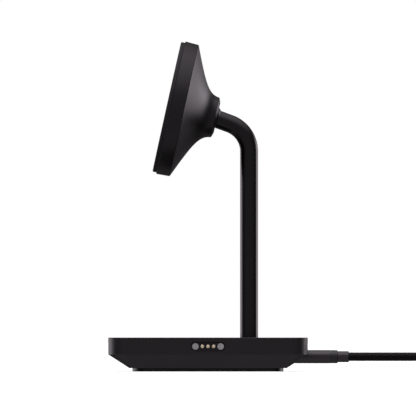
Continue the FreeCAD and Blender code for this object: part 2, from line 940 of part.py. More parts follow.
def port_housing():
    """Moulded carrier of the contacts: a nose in the cover's slot, a flange behind the wall and a block."""
    flange_rear = port_inner - port_flange_thickness
    nose = side_stadium(port_length - 2 * port_gap, port_breadth - 2 * port_gap, port_inner, port_front)
    flange = side_stadium(
        port_length + 2 * port_flange, port_breadth + 2 * port_flange_rise, flange_rear, port_inner
    )
    block_half = port_length / 2 - port_block_inset
    low = port_height - port_breadth / 2
    block = box(port_rear, flange_rear, -block_half, block_half, low, low + port_breadth)
    holes = []
    barrel_radius = pin_radius + barrel_gap + barrel_wall
    barrel_front = port_front - barrel_skin
    for y in contact_places:
        seat = V(port_rear, y, port_height)
        holes.append(Part.makeCylinder(barrel_radius + thread_gap, barrel_front - port_rear, seat, X_AXIS))
        holes.append(Part.makeCylinder(pin_radius + barrel_gap, port_front - port_rear, seat, X_AXIS))
    for side in (-1, 1):
        seat = V(port_front - port_magnet_length, side * port_magnet_offset, port_height)
        holes.append(Part.makeCylinder(port_magnet_radius + thread_gap, port_magnet_length, seat, X_AXIS))
    return nose.fuse([flange, block]).cut(holes).removeSplitter()


def port_magnets():
    """Two round magnets beside the contacts."""
    magnets = []
    for side in (-1, 1):
        seat = V(port_front - port_magnet_length, side * port_magnet_offset, port_height)
        magnets.append(Part.makeCylinder(port_magnet_radius, port_magnet_length, seat, X_AXIS))
    return magnets


def contact_barrels():
    """Sleeves of the spring contacts, closed behind, with their tails on the board."""
    outer = pin_radius + barrel_gap + barrel_wall
    front = port_front - barrel_skin
    rear = front - barrel_length
    barrels = []
    for y in contact_places:
        sleeve = Part.makeCylinder(outer, barrel_length, V(rear, y, port_height), X_AXIS)
        bore = Part.makeCylinder(
            pin_radius + barrel_gap, barrel_length, V(rear + barrel_end, y, port_height), X_AXIS
        )
        tail = Part.makeCylinder(tail_radius, tail_length, V(rear - tail_length, y, port_height), X_AXIS)
        barrels.append(sleeve.cut(bore).fuse(tail).removeSplitter())
    return barrels


def contact_pin(y):
    """Plunger of one spring contact, with a domed tip."""
    tip = port_front + pin_stand
    body = Part.makeCylinder(pin_radius, pin_length, V(tip - pin_length, y, port_height), X_AXIS)
    tip_edges = [e for e in body.Edges if e.BoundBox.XMin > tip - least_corner]
    return body.makeFillet(pin_dome, tip_edges)


def contact_spring(y):
    """Coil spring between a plunger and the closed end of its barrel."""
    margin = spring_wire / 2 + spring_gap
    start = port_front - barrel_skin - barrel_length + barrel_end + margin
    end = port_front + pin_stand - pin_length - margin
    rise = (end - start) / (2 * spring_turns)
    reach = math.hypot(spring_radius, rise / 2)
    edges = []
    for half in range(2 * spring_turns):
        side = 1 if half % 2 == 0 else -1
        low = V(side * spring_radius, 0, half * rise)
        middle = V(0, side * reach, (half + 0.5) * rise)
        high = V(-side * spring_radius, 0, (half + 1) * rise)
        edges.append(arc(low, middle, high))
    spring = pipe(edges, spring_wire / 2)
    spring.rotate(ORIGIN, Y_AXIS, 90)
    spring.translate(V(start, y, port_height))
    return spring


def cable_gland():
    """Strain relief: a keyed flange inside the saddle, a grooved sleeve and a thinner collar."""
    axis_start = V(0, key_front, gland_height)
    sleeve = Part.makeCylinder(gland_radius, gland_end - key_front, axis_start, Y_AXIS)
    ends = [e for e in sleeve.Edges if e.BoundBox.YMin > gland_end - least_corner]
    sleeve = sleeve.makeChamfer(gland_chamfer, ends)
    collar = Part.makeCylinder(collar_radius, collar_end - key_front, axis_start, Y_AXIS)
    ends = [e for e in collar.Edges if e.BoundBox.YMin > collar_end - least_corner]
    collar = collar.makeChamfer(collar_radius - cable_radius, ends)
    groove_start = V(0, gland_end - gland_groove_setback, gland_height)
    groove = Part.makeCylinder(2 * gland_radius, gland_groove_width, groove_start, Y_AXIS)
    core = gland_radius - gland_groove_depth
    groove = groove.cut(Part.makeCylinder(core, gland_groove_width, groove_start, Y_AXIS))
    key = box(
        -key_half_width,
        key_half_width,
        key_front,
        key_rear,
        key_bottom,
        gland_height + key_rise,
    )
    return sleeve.cut(groove).fuse([collar, key]).removeSplitter()


def cable_run():
    """Cable from the strain relief to the coil."""
    return cord_tube("cable_run", run_points, cable_radius)


def coil_ring(grow):
    """Ring that the coil's turns fill, grown on every side."""
    outer = coil_outer_turn + cable_radius + grow
    inner = coil_inner_turn - cable_radius - grow
    bottom = coil_centre + V(0, 0, coil_bottom - grow)
    height = coil_top - coil_bottom + 2 * grow
    ring = Part.makeCylinder(outer, height, bottom, Z_AXIS)
    return ring.cut(Part.makeCylinder(inner, height, bottom, Z_AXIS))


def cable_coil():
    """Put-away length of the cable, wound flat."""
    return coil_ring(0.0)


def cable_tail():
    """Cable from the coil's top to the plug."""
    return cord_tube("cable_tail", tail_points, cable_radius)


def cable_tie():
    """Strap round the coil's turns."""
    reach = 2 * (coil_outer_turn + cable_radius)
    low = coil_bottom - tie_thickness
    high = coil_top + tie_thickness
    strip = box(0, reach, -tie_width / 2, tie_width / 2, low, high)
    strip.rotate(ORIGIN, Z_AXIS, tie_angle)
    strip.translate(V(coil_centre.x, coil_centre.y, 0))
    return coil_ring(tie_thickness).common(strip).cut(coil_ring(0.0))


def plug_placed(shape):
    """Plug piece turned to its heading at the tail's end."""
    shape.rotate(ORIGIN, Z_AXIS, plug_heading)
    shape.translate(tail_points[-1])
    return shape


def usb_plug_grip():
    """Moulded grip of the plug with a short nose round the cable."""
    front = nose_length + grip_length
    grip = box(
        nose_length,
        front,
        -grip_width / 2,
        grip_width / 2,
        -grip_thickness / 2,
        grip_thickness / 2,
    )
    long_edges = [e for e in grip.Edges if e.BoundBox.XLength > grip_length / 2]
    grip = grip.makeFillet(grip_round, long_edges)
    nose = Part.makeCone(cable_radius, nose_radius, nose_length, ORIGIN, X_AXIS)
    seat = plug_wall
    half = plug_thickness / 2
    socket = box(front - seat, front, -plug_width / 2, plug_width / 2, -half, half)
    return plug_placed(grip.fuse(nose).cut(socket).removeSplitter())


def flat_oval(width, thickness, x0, x1):
    """Bar along X whose section is a rectangle with half-round sides."""
    half = width / 2 - thickness / 2
    high = thickness / 2
    edges = [
        line(V(x0, -half, -high), V(x0, half, -high)),
        arc(V(x0, half, -high), V(x0, half + high, 0), V(x0, half, high)),
        line(V(x0, half, high), V(x0, -half, high)),
        arc(V(x0, -half, high), V(x0, -half - high, 0), V(x0, -half, -high)),
    ]
    return Part.Face(Part.Wire(edges)).extrude(V(x1 - x0, 0, 0))


def usb_plug_shell():
    """Metal shell of the plug, open in front, with its contact tongue set back."""
    start = nose_length + grip_length - plug_wall
    end = nose_length + grip_length + plug_length
    floor = start + 2 * plug_wall
    shell = flat_oval(plug_width, plug_thickness, start, end)
    inner_width = plug_width - 2 * plug_wall
    inner_thickness = plug_thickness - 2 * plug_wall
    shell = shell.cut(flat_oval(inner_width, inner_thickness, floor, end))
    edge_width = inner_width - 2 * plug_wall
    tongue = box(
        floor,
        end - tongue_setback,
        -edge_width / 2,
        edge_width / 2,
        -tongue_thickness / 2,
        tongue_thickness / 2,
    )
    return plug_placed(shell.fuse(tongue).removeSplitter())


def save(name, shape):
    """Writes one named piece, or a group of like pieces."""
    solids = shape if isinstance(shape, list) else [shape]
    for solid in solids:
        if not solid.isValid() or len(solid.Solids) != 1 or solid.Volume <= 0:
            print("check", name, solid.isValid(), len(solid.Solids), solid.Volume)
    whole = Part.makeCompound(solids) if isinstance(shape, list) else shape.Solids[0]
    whole.exportStep(os.path.join("parts", name + ".step"))


def main():
    os.makedirs("parts", exist_ok=True)
    pieces = [
        base_cover,
        base_pan,
        foot_pad,
        base_weight,
        base_screws,
        main_board,
        board_parts,
        board_screws,
        supply_lead,
        stem_flange,
        flange_screws,
        stem_tube,
        stem_lead,
        ball_stud,
        ball_front_cup,
        ball_rear_cup,
        neck_ring,
        head_bell,
        face_plate,
        face_pad,
        charging_coil,
        ferrite_shield,
        alignment_magnets,
        magnet_backplate,
        head_board,
        head_board_parts,
        head_lead,
        port_housing,
        port_magnets,
        contact_barrels,
        cable_gland,
        cable_run,
        cable_coil,
        cable_tail,
        cable_tie,
        usb_plug_grip,
        usb_plug_shell,
    ]
    for piece in pieces:
        save(piece.__name__, piece())
    for index, y in enumerate(contact_places, start=1):
        save("contact_pin_" + str(index), contact_pin(y))
        save("contact_spring_" + str(index), contact_spring(y))
    print("ball centre", ball_centre, "face centre", face_centre)


main()
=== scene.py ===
"""Dresses the wireless charging stand: finishes, meshes, cable, studio and camera."""

import json
import logging
import math
from dataclasses import dataclass, field
from enum import Enum
from typing import Sequence

import bmesh
import bpy
from mathutils import Matrix, Vector


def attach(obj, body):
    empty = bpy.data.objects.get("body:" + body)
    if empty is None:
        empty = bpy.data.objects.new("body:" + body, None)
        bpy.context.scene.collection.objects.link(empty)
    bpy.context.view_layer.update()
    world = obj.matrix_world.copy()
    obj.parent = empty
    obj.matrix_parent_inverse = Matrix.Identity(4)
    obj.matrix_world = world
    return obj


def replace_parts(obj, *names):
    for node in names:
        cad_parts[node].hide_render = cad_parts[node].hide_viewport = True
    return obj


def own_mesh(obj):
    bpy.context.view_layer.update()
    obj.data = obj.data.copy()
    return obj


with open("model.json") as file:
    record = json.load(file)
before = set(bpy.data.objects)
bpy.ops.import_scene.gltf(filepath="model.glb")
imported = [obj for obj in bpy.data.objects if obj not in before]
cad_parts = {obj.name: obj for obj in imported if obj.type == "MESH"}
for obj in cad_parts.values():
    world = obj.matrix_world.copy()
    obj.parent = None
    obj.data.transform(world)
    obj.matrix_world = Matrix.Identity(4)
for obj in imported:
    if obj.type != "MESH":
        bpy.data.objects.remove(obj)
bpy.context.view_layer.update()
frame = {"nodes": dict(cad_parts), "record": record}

LOG = logging.getLogger("charging_stand")
MM = 0.001  # in metres
TURN = 2.0 * math.pi  # in radians
QUARTER = 90.0  # in degrees
ON_AXIS = 1e-6  # a smaller radius is a point on the axis

SHEEN_ROUGHNESS = 0.5
RAMP_ENDS = (0.12, 0.55)  # where the main colour ends and the accent starts
NOISE_BAND = (0.3, 0.7)  # where most values of a noise lie
HAIRLINE_STRETCH = (0.15, 1.0, 1.0)
BRAID_STRANDS = 8.0  # round the cord, each way
TRACES = {"distance": "MANHATTAN", "feature": "DISTANCE_TO_EDGE"}
WHITE = (1.0, 1.0, 1.0, 1.0)

X_AXIS = Vector((1.0, 0.0, 0.0))
Y_AXIS = Vector((0.0, 1.0, 0.0))
Z_AXIS = Vector((0.0, 0.0, 1.0))

Point2 = tuple[float, float]
Point3 = tuple[float, float, float]
Colour = tuple[float, float, float]
Socket = bpy.types.NodeSocket
Value = Socket | float
GrainSockets = tuple[Socket, Socket]


class Grain(Enum):
    """Kinds of surface detail that a finish can carry."""

    MOULDED = "moulded"
    POWDER = "powder"
    BLASTED = "blasted"
    POLISHED = "polished"
    RUBBER = "rubber"
    BRAID = "braid"
    STRAP = "strap"
    WINDING = "winding"
    BOARD = "board"


@dataclass(frozen=True)
class Finish:
    """One surface finish, made into a node material.

    Attributes:
        name: Name of the material.
        slot: Material slot of the record that it belongs to. Not used.
        colour: Main colour, linear.
        accent: Second colour that the grain brings in.
        roughness: Middle of the roughness.
        spread: How far the roughness varies.
        metallic: Share of metal.
        specular: Specular level of the surface.
        grain: Kind of detail.
        grain_mm: Size of the detail.
        relief_mm: Height of the detail.
        sheen: Weight of a fibre sheen.
    """

    name: str
    slot: str
    colour: Colour
    accent: Colour
    roughness: float
    spread: float = 0.05
    metallic: float = 0.0
    specular: float = 0.5
    grain: Grain = Grain.MOULDED
    grain_mm: float = 0.3
    relief_mm: float = 0.004
    sheen: float = 0.0

    def material(self) -> bpy.types.Material:
        """The finish's material, made on first use."""
        found = bpy.data.materials.get(self.name)
        return found if found else self._make()

    def _make(self) -> bpy.types.Material:
        """Builds the node tree.

        Returns:
            The new material.
        """
        material = bpy.data.materials.new(self.name)
        material.use_nodes = True
        material.diffuse_color = (*self.colour, 1.0)
        shader = material.node_tree.nodes["Principled BSDF"]
        shader.inputs["Metallic"].default_value = self.metallic
        shader.inputs["Specular IOR Level"].default_value = self.specular
        shader.inputs["Sheen Weight"].default_value = self.sheen
        shader.inputs["Sheen Roughness"].default_value = SHEEN_ROUGHNESS
        tree = NodeTree(material.node_tree)
        fine, broad = GRAINS[self.grain](tree, self)
        colours = (self.colour, self.accent)
        tree.ramp_colour(fine, broad, colours, shader.inputs["Base Color"])
        band = (self.roughness - self.spread, self.roughness + self.spread)
        tree.join(tree.mapped(broad, NOISE_BAND, band), shader.inputs["Roughness"])
        tree.bump(fine, self.relief_mm * MM, shader.inputs["Normal"])
        return material


@dataclass
class NodeTree:
    """Short forms for wiring a node tree.

    Attributes:
        tree: Blender's node tree.
    """

    tree: bpy.types.NodeTree

    def node(self, kind: str, **settings: object) -> bpy.types.Node:
        """Adds a node.

        Args:
            kind: Blender's type name of the node.
            **settings: Attributes to set on it.

        Returns:
            The new node.
        """
        made = self.tree.nodes.new(kind)
        for key, value in settings.items():
            setattr(made, key, value)
        return made

    def join(self, source: Socket, target: Socket) -> None:
        """Links two sockets."""
        self.tree.links.new(source, target)

    def place(self, output: str = "Object") -> Socket:
        """Socket with the texture coordinates of one kind."""
        return self.node("ShaderNodeTexCoord").outputs[output]

    def split(self, vector: Socket) -> Sequence[Socket]:
        """Splits a vector.

        Args:
            vector: Socket with the vector.

        Returns:
            Sockets with its three components.
        """
        made = self.node("ShaderNodeSeparateXYZ")
        self.join(vector, made.inputs[0])
        return made.outputs

    def scaled(self, vector: Socket, scale: Point3) -> Socket:
        """Stretches coordinates along their axes.

        Args:
            vector: Socket with the coordinates.
            scale: Factor along each axis.

        Returns:
            Socket with the new coordinates.
        """
        made = self.node("ShaderNodeMapping")
        made.inputs["Scale"].default_value = scale
        self.join(vector, made.inputs["Vector"])
        return made.outputs["Vector"]

    def noise(self, where: Socket, size_mm: float, detail: float = 2.0) -> Socket:
        """Noise with lumps of a size.

        Args:
            where: Coordinates in metres.
            size_mm: Size of a lump.
            detail: Octaves of finer noise.

        Returns:
            Socket with values round a half.
        """
        made = self.node("ShaderNodeTexNoise")
        made.inputs["Scale"].default_value = 1.0 / (size_mm * MM)
        made.inputs["Detail"].default_value = detail
        self.join(where, made.inputs["Vector"])
        return made.outputs["Fac"]

    def cells(self, where: Socket, size_mm: float, **settings: object) -> Socket:
        """Cells of a size.

        Args:
            where: Coordinates in metres.
            size_mm: Size of a cell.
            **settings: How the distance in a cell is measured.

        Returns:
            Socket with the distance.
        """
        made = self.node("ShaderNodeTexVoronoi", **settings)
        made.inputs["Scale"].default_value = 1.0 / (size_mm * MM)
        self.join(where, made.inputs["Vector"])
        return made.outputs["Distance"]

    def math(self, kind: str, *values: Value) -> Socket:
        """Sum, product or other step on up to three values.

        Args:
            kind: Blender's name of the step.
            *values: The values, each a socket or a number.

        Returns:
            Socket with the result.
        """
        made = self.node("ShaderNodeMath", operation=kind)
        for slot, value in zip(made.inputs, values):
            if isinstance(value, Socket):
                self.join(value, slot)
            else:
                slot.default_value = value
        return made.outputs[0]

    def wave(self, angle: Socket) -> Socket:
        """Sine of an angle, moved so that it runs from 0 to 1."""
        return self.math("MULTIPLY_ADD", self.math("SINE", angle), 0.5, 0.5)

    def product(self, factors: Sequence[Socket]) -> Socket:
        """Product of several values.

        Args:
            factors: Sockets with the values.

        Returns:
            Socket with the product.
        """
        result = factors[0]
        for factor in factors[1:]:
            result = self.math("MULTIPLY", result, factor)
        return result

    def mapped(
        self, source: Socket, limits: Point2, values: Point2, kind: str = "LINEAR"
    ) -> Socket:
        """Moves a value from one range to another.

        Args:
            source: Socket with the value.
            limits: Ends of the range that it comes from.
            values: What it becomes at those ends and beyond them.
            kind: Blender's name of the way between the ends.

        Returns:
            Socket with the new value.
        """
        made = self.node("ShaderNodeMapRange", interpolation_type=kind)
        names = ("From Min", "From Max", "To Min", "To Max")
        for name, value in zip(names, (*limits, *values)):
            made.inputs[name].default_value = value
        self.join(source, made.inputs["Value"])
        return made.outputs["Result"]

    def ramp_colour(
        self, fine: Socket, broad: Socket, colours: tuple[Colour, Colour], target: Socket
    ) -> None:
        """Mixes two colours by the fine and the broad detail together.

        Args:
            fine: Detail of the grain.
            broad: Slow change over the piece.
            colours: Main colour, and the colour on the grain's heights.
            target: Colour socket of the shader.
        """
        ramp = self.node("ShaderNodeValToRGB")
        for stop, position, colour in zip(ramp.color_ramp.elements, RAMP_ENDS, colours):
            stop.position = position
            stop.color = (*colour, 1.0)
        self.join(self.math("MULTIPLY", fine, broad), ramp.inputs["Fac"])
        self.join(ramp.outputs["Color"], target)

    def bump(self, height: Socket, depth: float, target: Socket) -> None:
        """Turns a height into a tilt of the surface.

        Args:
            height: Socket with the height.
            depth: What a height of 1 is in metres.
            target: Normal socket of the shader.
        """
        made = self.node("ShaderNodeBump")
        made.inputs["Strength"].default_value = 1.0
        made.inputs["Distance"].default_value = depth
        self.join(height, made.inputs["Height"])
        self.join(made.outputs["Normal"], target)


def even_grain(tree: NodeTree, finish: Finish) -> GrainSockets:
    """Fine even noise over a slow one, for moulded, coated, blasted and rubber surfaces."""
    where = tree.place()
    return tree.noise(where, finish.grain_mm, detail=3.0), tree.noise(where, size_mm=24.0)


def polished_grain(tree: NodeTree, finish: Finish) -> GrainSockets:
    """Hairlines along one axis over faint clouding, for plated metal.

    Args:
        tree: Node tree of the material.
        finish: The finish.

    Returns:
        Height of the hairlines, and the clouding.
    """
    where = tree.place()
    hairlines = tree.noise(tree.scaled(where, HAIRLINE_STRETCH), finish.grain_mm)
    return hairlines, tree.noise(where, size_mm=3.0)


def braid_grain(tree: NodeTree, finish: Finish) -> GrainSockets:
    """Two sets of strands that cross over and under each other round a cord.

    Args:
        tree: Node tree of the material.
        finish: The finish.

    Returns:
        Height of the strands, and a slow change along the cord.
    """
    u, v, _ = tree.split(tree.place("UV"))
    around = tree.math("MULTIPLY", u, BRAID_STRANDS)
    lengthwise = tree.math("MULTIPLY", v, 1.0 / (finish.grain_mm * MM))
    left = tree.math("ADD", around, lengthwise)
    right = tree.math("SUBTRACT", around, lengthwise)
    over = tree.math("SINE", tree.math("MULTIPLY", tree.math("ADD", left, right), TURN / 4))
    chosen = tree.node("ShaderNodeMix")
    tree.join(tree.math("GREATER_THAN", over, 0.0), chosen.inputs["Factor"])
    for name, way in (("A", left), ("B", right)):
        tree.join(tree.wave(tree.math("MULTIPLY", way, TURN)), chosen.inputs[name])
    return chosen.outputs["Result"], tree.noise(tree.place(), size_mm=2.0)


def strap_grain(tree: NodeTree, finish: Finish) -> GrainSockets:
    """Small loops of a hook-and-loop strap."""
    where = tree.place()
    return tree.cells(where, finish.grain_mm), tree.noise(where, size_mm=1.5, detail=3.0)


def winding_grain(tree: NodeTree, finish: Finish) -> GrainSockets:
    """Turns of wire side by side round the charging face's axis.

    Args:
        tree: Node tree of the material.
        finish: The finish.

    Returns:
        Height of the turns, and a slow change over the winding.
    """
    offset = tree.node("ShaderNodeVectorMath", operation="SUBTRACT")
    offset.inputs[1].default_value = Head.centre()
    tree.join(tree.place(), offset.inputs[0])
    across = tree.node("ShaderNodeVectorMath", operation="CROSS_PRODUCT")
    across.inputs[1].default_value = Head.normal()
    tree.join(offset.outputs[0], across.inputs[0])
    length = tree.node("ShaderNodeVectorMath", operation="LENGTH")
    tree.join(across.outputs[0], length.inputs[0])
    turns = tree.math("MULTIPLY", length.outputs["Value"], TURN / (finish.grain_mm * MM))
    return tree.wave(turns), tree.noise(tree.place(), size_mm=5.0)


def board_grain(tree: NodeTree, finish: Finish) -> GrainSockets:
    """Blocky traces under the mask of a circuit board."""
    where = tree.place()
    return tree.cells(where, finish.grain_mm, **TRACES), tree.noise(where, size_mm=4.0)


GRAINS = {
    Grain.MOULDED: even_grain,
    Grain.POWDER: even_grain,
    Grain.BLASTED: even_grain,
    Grain.RUBBER: even_grain,
    Grain.POLISHED: polished_grain,
    Grain.BRAID: braid_grain,
    Grain.STRAP: strap_grain,
    Grain.WINDING: winding_grain,
    Grain.BOARD: board_grain,
}


class Finishes:
    """The finishes of this stand."""

    SHELL = Finish(
        "satin_black_moulding", "satin_black_plastic",
        (0.0062, 0.0058, 0.0061), (0.0080, 0.0076, 0.0079),
        roughness=0.4, spread=0.05, specular=0.37,
        grain_mm=0.35, relief_mm=0.003,
    )
    FOOT = Finish(
        "foot_rubber", "black_rubber", (0.003, 0.003, 0.003), (0.005, 0.005, 0.005),
        roughness=0.24, spread=0.05, specular=0.22,
        grain=Grain.RUBBER, grain_mm=0.4, relief_mm=0.01,
    )
    STEEL = Finish(
        "zinc_steel", "plain_steel", (0.42, 0.42, 0.43), (0.58, 0.58, 0.58),
        roughness=0.32, spread=0.08, metallic=1.0,
        grain=Grain.POLISHED, grain_mm=0.2, relief_mm=0.004,
    )
    BOARD = Finish(
        "solder_mask", "green_board", (0.012, 0.075, 0.03), (0.03, 0.15, 0.06),
        roughness=0.35, spread=0.06,
        grain=Grain.BOARD, grain_mm=2.2, relief_mm=0.03,
    )
    COMPONENT = Finish(
        "moulded_component", "dark_component", (0.012, 0.012, 0.013), (0.03, 0.03, 0.032),
        roughness=0.5, spread=0.08,
        grain_mm=0.25, relief_mm=0.01,
    )
    LEAD = Finish(
        "lead_sheath_soft", "lead_sheath", (0.03, 0.03, 0.032), (0.05, 0.05, 0.052),
        roughness=0.5, spread=0.06,
        grain=Grain.RUBBER, grain_mm=0.4, relief_mm=0.01,
    )
    STEM = Finish(
        "stem_powder_coat", "black_painted_tube",
        (0.0032, 0.0032, 0.0033), (0.0048, 0.0048, 0.0049),
        roughness=0.2, spread=0.04, specular=0.28,
        grain=Grain.POWDER, grain_mm=0.7, relief_mm=0.004,
    )
    BALL = Finish(
        "blackened_ball", "dark_steel", (0.05, 0.05, 0.052), (0.08, 0.08, 0.082),
        roughness=0.24, spread=0.05, metallic=1.0,
        grain=Grain.POLISHED, grain_mm=0.15, relief_mm=0.001,
    )
    CUP = Finish(
        "acetal_cup", "white_acetal", (0.62, 0.62, 0.6), (0.72, 0.72, 0.7),
        roughness=0.42, spread=0.05,
        grain_mm=0.3, relief_mm=0.006,
    )
    BELL = Finish(
        "bell_anodised", "black_anodised", (0.0072, 0.0071, 0.0073), (0.0095, 0.0094, 0.0096),
        roughness=0.38, spread=0.04, specular=0.28,
        grain=Grain.BLASTED, grain_mm=0.25, relief_mm=0.0025,
    )
    FACE = Finish(
        "face_silicone_soft", "face_silicone", (0.010, 0.010, 0.0105), (0.014, 0.014, 0.0145),
        roughness=0.58, spread=0.05, specular=0.3,
        grain=Grain.RUBBER, grain_mm=0.3, relief_mm=0.006,
    )
    COIL = Finish(
        "enamelled_winding", "copper_winding", (0.42, 0.14, 0.05), (0.75, 0.34, 0.15),
        roughness=0.3, spread=0.06, metallic=1.0,
        grain=Grain.WINDING, grain_mm=0.8, relief_mm=0.2,
    )
    FERRITE = Finish(
        "sintered_ferrite", "ferrite", (0.022, 0.022, 0.023), (0.05, 0.05, 0.052),
        roughness=0.55, spread=0.08,
        grain_mm=0.5, relief_mm=0.02,
    )
    NICKEL = Finish(
        "nickel_plate", "nickel", (0.45, 0.47, 0.458), (0.545, 0.568, 0.553),
        roughness=0.36, spread=0.07, metallic=1.0,
        grain=Grain.POLISHED, grain_mm=0.12, relief_mm=0.002,
    )
    PORT = Finish(
        "port_moulding", "port_plastic", (0.009, 0.0088, 0.009), (0.012, 0.0117, 0.012),
        roughness=0.5, spread=0.05, specular=0.22,
        grain_mm=0.3, relief_mm=0.004,
    )
    GOLD = Finish(
        "contact_gold", "gold_plate", (0.826, 0.765, 0.545), (0.86, 0.82, 0.62),
        roughness=0.6, spread=0.04, metallic=1.0,
        grain=Grain.POLISHED, grain_mm=0.25, relief_mm=0.0005,
    )
    GLAND = Finish(
        "gland_moulding", "gland_plastic", (0.0065, 0.0062, 0.0065), (0.0095, 0.0091, 0.0095),
        roughness=0.37, spread=0.05, specular=0.6,
        grain_mm=0.3, relief_mm=0.005,
    )
    SHEATH = Finish(
        "braided_sheath_black", "braided_sheath", (0.001, 0.001, 0.001), (0.0045, 0.0042, 0.0045),
        roughness=0.42, spread=0.06, specular=0.13,
        grain=Grain.BRAID, grain_mm=3.6, relief_mm=0.06,
    )
    STRAP = Finish(
        "strap_loops", "tie_strap", (0.012, 0.012, 0.013), (0.04, 0.04, 0.042),
        roughness=0.8, spread=0.1,
        grain=Grain.STRAP, grain_mm=0.5, relief_mm=0.15, sheen=0.4,
    )


def dress_nodes(finish: Finish, *nodes: str) -> None:
    """Gives CAD nodes a finish through their material slots.

    Args:
        finish: The finish.
        *nodes: Names of the nodes.
    """
    for node in nodes:
        for slot in frame["nodes"][node].material_slots:
            slot.material = finish.material()
        LOG.info("dressed %s", node)


def add_object(name: str, data: bpy.types.ID) -> bpy.types.Object:
    """Adds an object to the scene.

    Args:
        name: Its name.
        data: Its mesh, curve or camera.

    Returns:
        The new object.
    """
    obj = bpy.data.objects.new(name, data)
    bpy.context.scene.collection.objects.link(obj)
    return obj


@dataclass
class Mesher:
    """Collects rings of points in millimetres and makes them into one object.

    Attributes:
        points: Points so far.
        faces: Faces so far, as tuples of point numbers.
        uvs: Texture coordinates by face, where a mesh has them.
    """

    points: list[Vector] = field(default_factory=list)
    faces: list[tuple[int, ...]] = field(default_factory=list)
    uvs: list[list[Point2]] = field(default_factory=list)

    def ring(self, points: Sequence[Vector]) -> list[int]:
        """Adds points.

        Args:
            points: The points, in order.

        Returns:
            Their numbers.
        """
        start = len(self.points)
        self.points.extend(points)
        return list(range(start, start + len(points)))

    def bridge(self, low: Sequence[int], high: Sequence[int]) -> None:
        """Joins two closed rings by faces, or a ring and a single point by a fan.

        Args:
            low: Numbers of the first ring.
            high: Numbers of the second ring.
        """
        count = max(len(low), len(high))
        for i in range(count):
            j = (i + 1) % count
            if len(low) == 1:
                self.faces.append((low[0], high[j], high[i]))
            elif len(high) == 1:
                self.faces.append((low[i], low[j], high[0]))
            else:
                self.faces.append((low[i], low[j], high[j], high[i]))

    def stack(self, rings: Sequence[Sequence[int]], closed: bool = False) -> None:
        """Bridges rings in order.

        Args:
            rings: Numbers of each ring.
            closed: Whether the last ring is bridged to the first.
        """
        pairs = list(zip(rings, rings[1:]))
        if closed:
            pairs.append((rings[-1], rings[0]))
        for low, high in pairs:
            self.bridge(low, high)

    def cap(self, ring: Sequence[int]) -> None:
        """Closes a ring with one flat face."""
        self.faces.append(tuple(ring))

    def loft(self, rings: Sequence[Sequence[int]]) -> None:
        """Bridges rings in order and closes both ends.

        Args:
            rings: Numbers of each ring.
        """
        self.stack(rings)
        self.cap(rings[0])
        self.cap(rings[-1])

    def make(self, name: str, finish: Finish, sharp: float = 34.0) -> bpy.types.Object:
        """Makes the object, smooth except over sharp edges.

        Args:
            name: Name of the piece.
            finish: Its finish.
            sharp: Angle in degrees from which an edge stays sharp.

        Returns:
            The new object, in metres.
        """
        mesh = bpy.data.meshes.new(name)
        mesh.from_pydata([p * MM for p in self.points], [], self.faces)
        if self.uvs:
            layer = mesh.uv_layers.new(name="UVMap")
            flat = [value for face in self.uvs for corner in face for value in corner]
            layer.data.foreach_set("uv", flat)
        work = bmesh.new()
        work.from_mesh(mesh)
        bmesh.ops.recalc_face_normals(work, faces=work.faces)
        work.to_mesh(mesh)
        work.free()
        mesh.shade_smooth()
        mesh.set_sharp_from_angle(angle=math.radians(sharp))
        mesh.materials.append(finish.material())
        obj = add_object(name, mesh)
        LOG.info("made %s with %d faces", name, len(self.faces))
        return obj


def soften(points: Sequence[Point2], rounds: Sequence[float], steps: int = 5) -> list[Point2]:
    """Rounds the corners of a closed outline.

    Args:
        points: Corners in order.
        rounds: Radius at each corner, 0 for a sharp one.
        steps: Stretches of each rounded corner.

    Returns:
        The outline with its corners replaced by arcs.
    """
    result: list[Point2] = []
    count = len(points)
    for i, radius in enumerate(rounds):
        corner = Vector(points[i])
        if radius <= 0.0:
            result.append(tuple(corner))
            continue
        back = Vector(points[i - 1]) - corner
        ahead = Vector(points[(i + 1) % count]) - corner
        turn = math.pi - back.angle(ahead)
        setback = radius * math.tan(turn / 2)
        back, ahead = back.normalized(), ahead.normalized()
        centre = corner + (back + ahead).normalized() * (radius / math.cos(turn / 2))
        first, last = corner + back * setback - centre, corner + ahead * setback - centre
        for step in range(steps + 1):
            mixed = first.lerp(last, step / steps).normalized() * radius
            result.append(tuple(centre + mixed))
    return result


def lathe(outline: Sequence[Point2], place: Matrix, segments: int, mesher: Mesher) -> None:
    """Turns a closed outline of radius and depth pairs about the local Z axis.

    Args:
        outline: Points of radius and depth in millimetres.
        place: Matrix from the local frame to the stand's, in millimetres.
        segments: Points round the axis.
        mesher: Where the mesh goes.
    """
    turns = [TURN * i / segments for i in range(segments)]
    rings = []
    for radius, depth in outline:
        if radius < ON_AXIS:
            rings.append(mesher.ring([place @ Vector((0.0, 0.0, depth))]))
            continue
        around = [Vector((radius * math.cos(t), radius * math.sin(t), depth)) for t in turns]
        rings.append(mesher.ring([place @ p for p in around]))
    on_axis = len(rings[0]) == 1 and len(rings[-1]) == 1
    mesher.stack(rings, closed=not on_axis)


def along(start: Vector, direction: Vector) -> Matrix:
    """Frame at a point whose local Z runs along a direction."""
    return Matrix.Translation(start) @ direction.to_track_quat("Z", "Y").to_matrix().to_4x4()


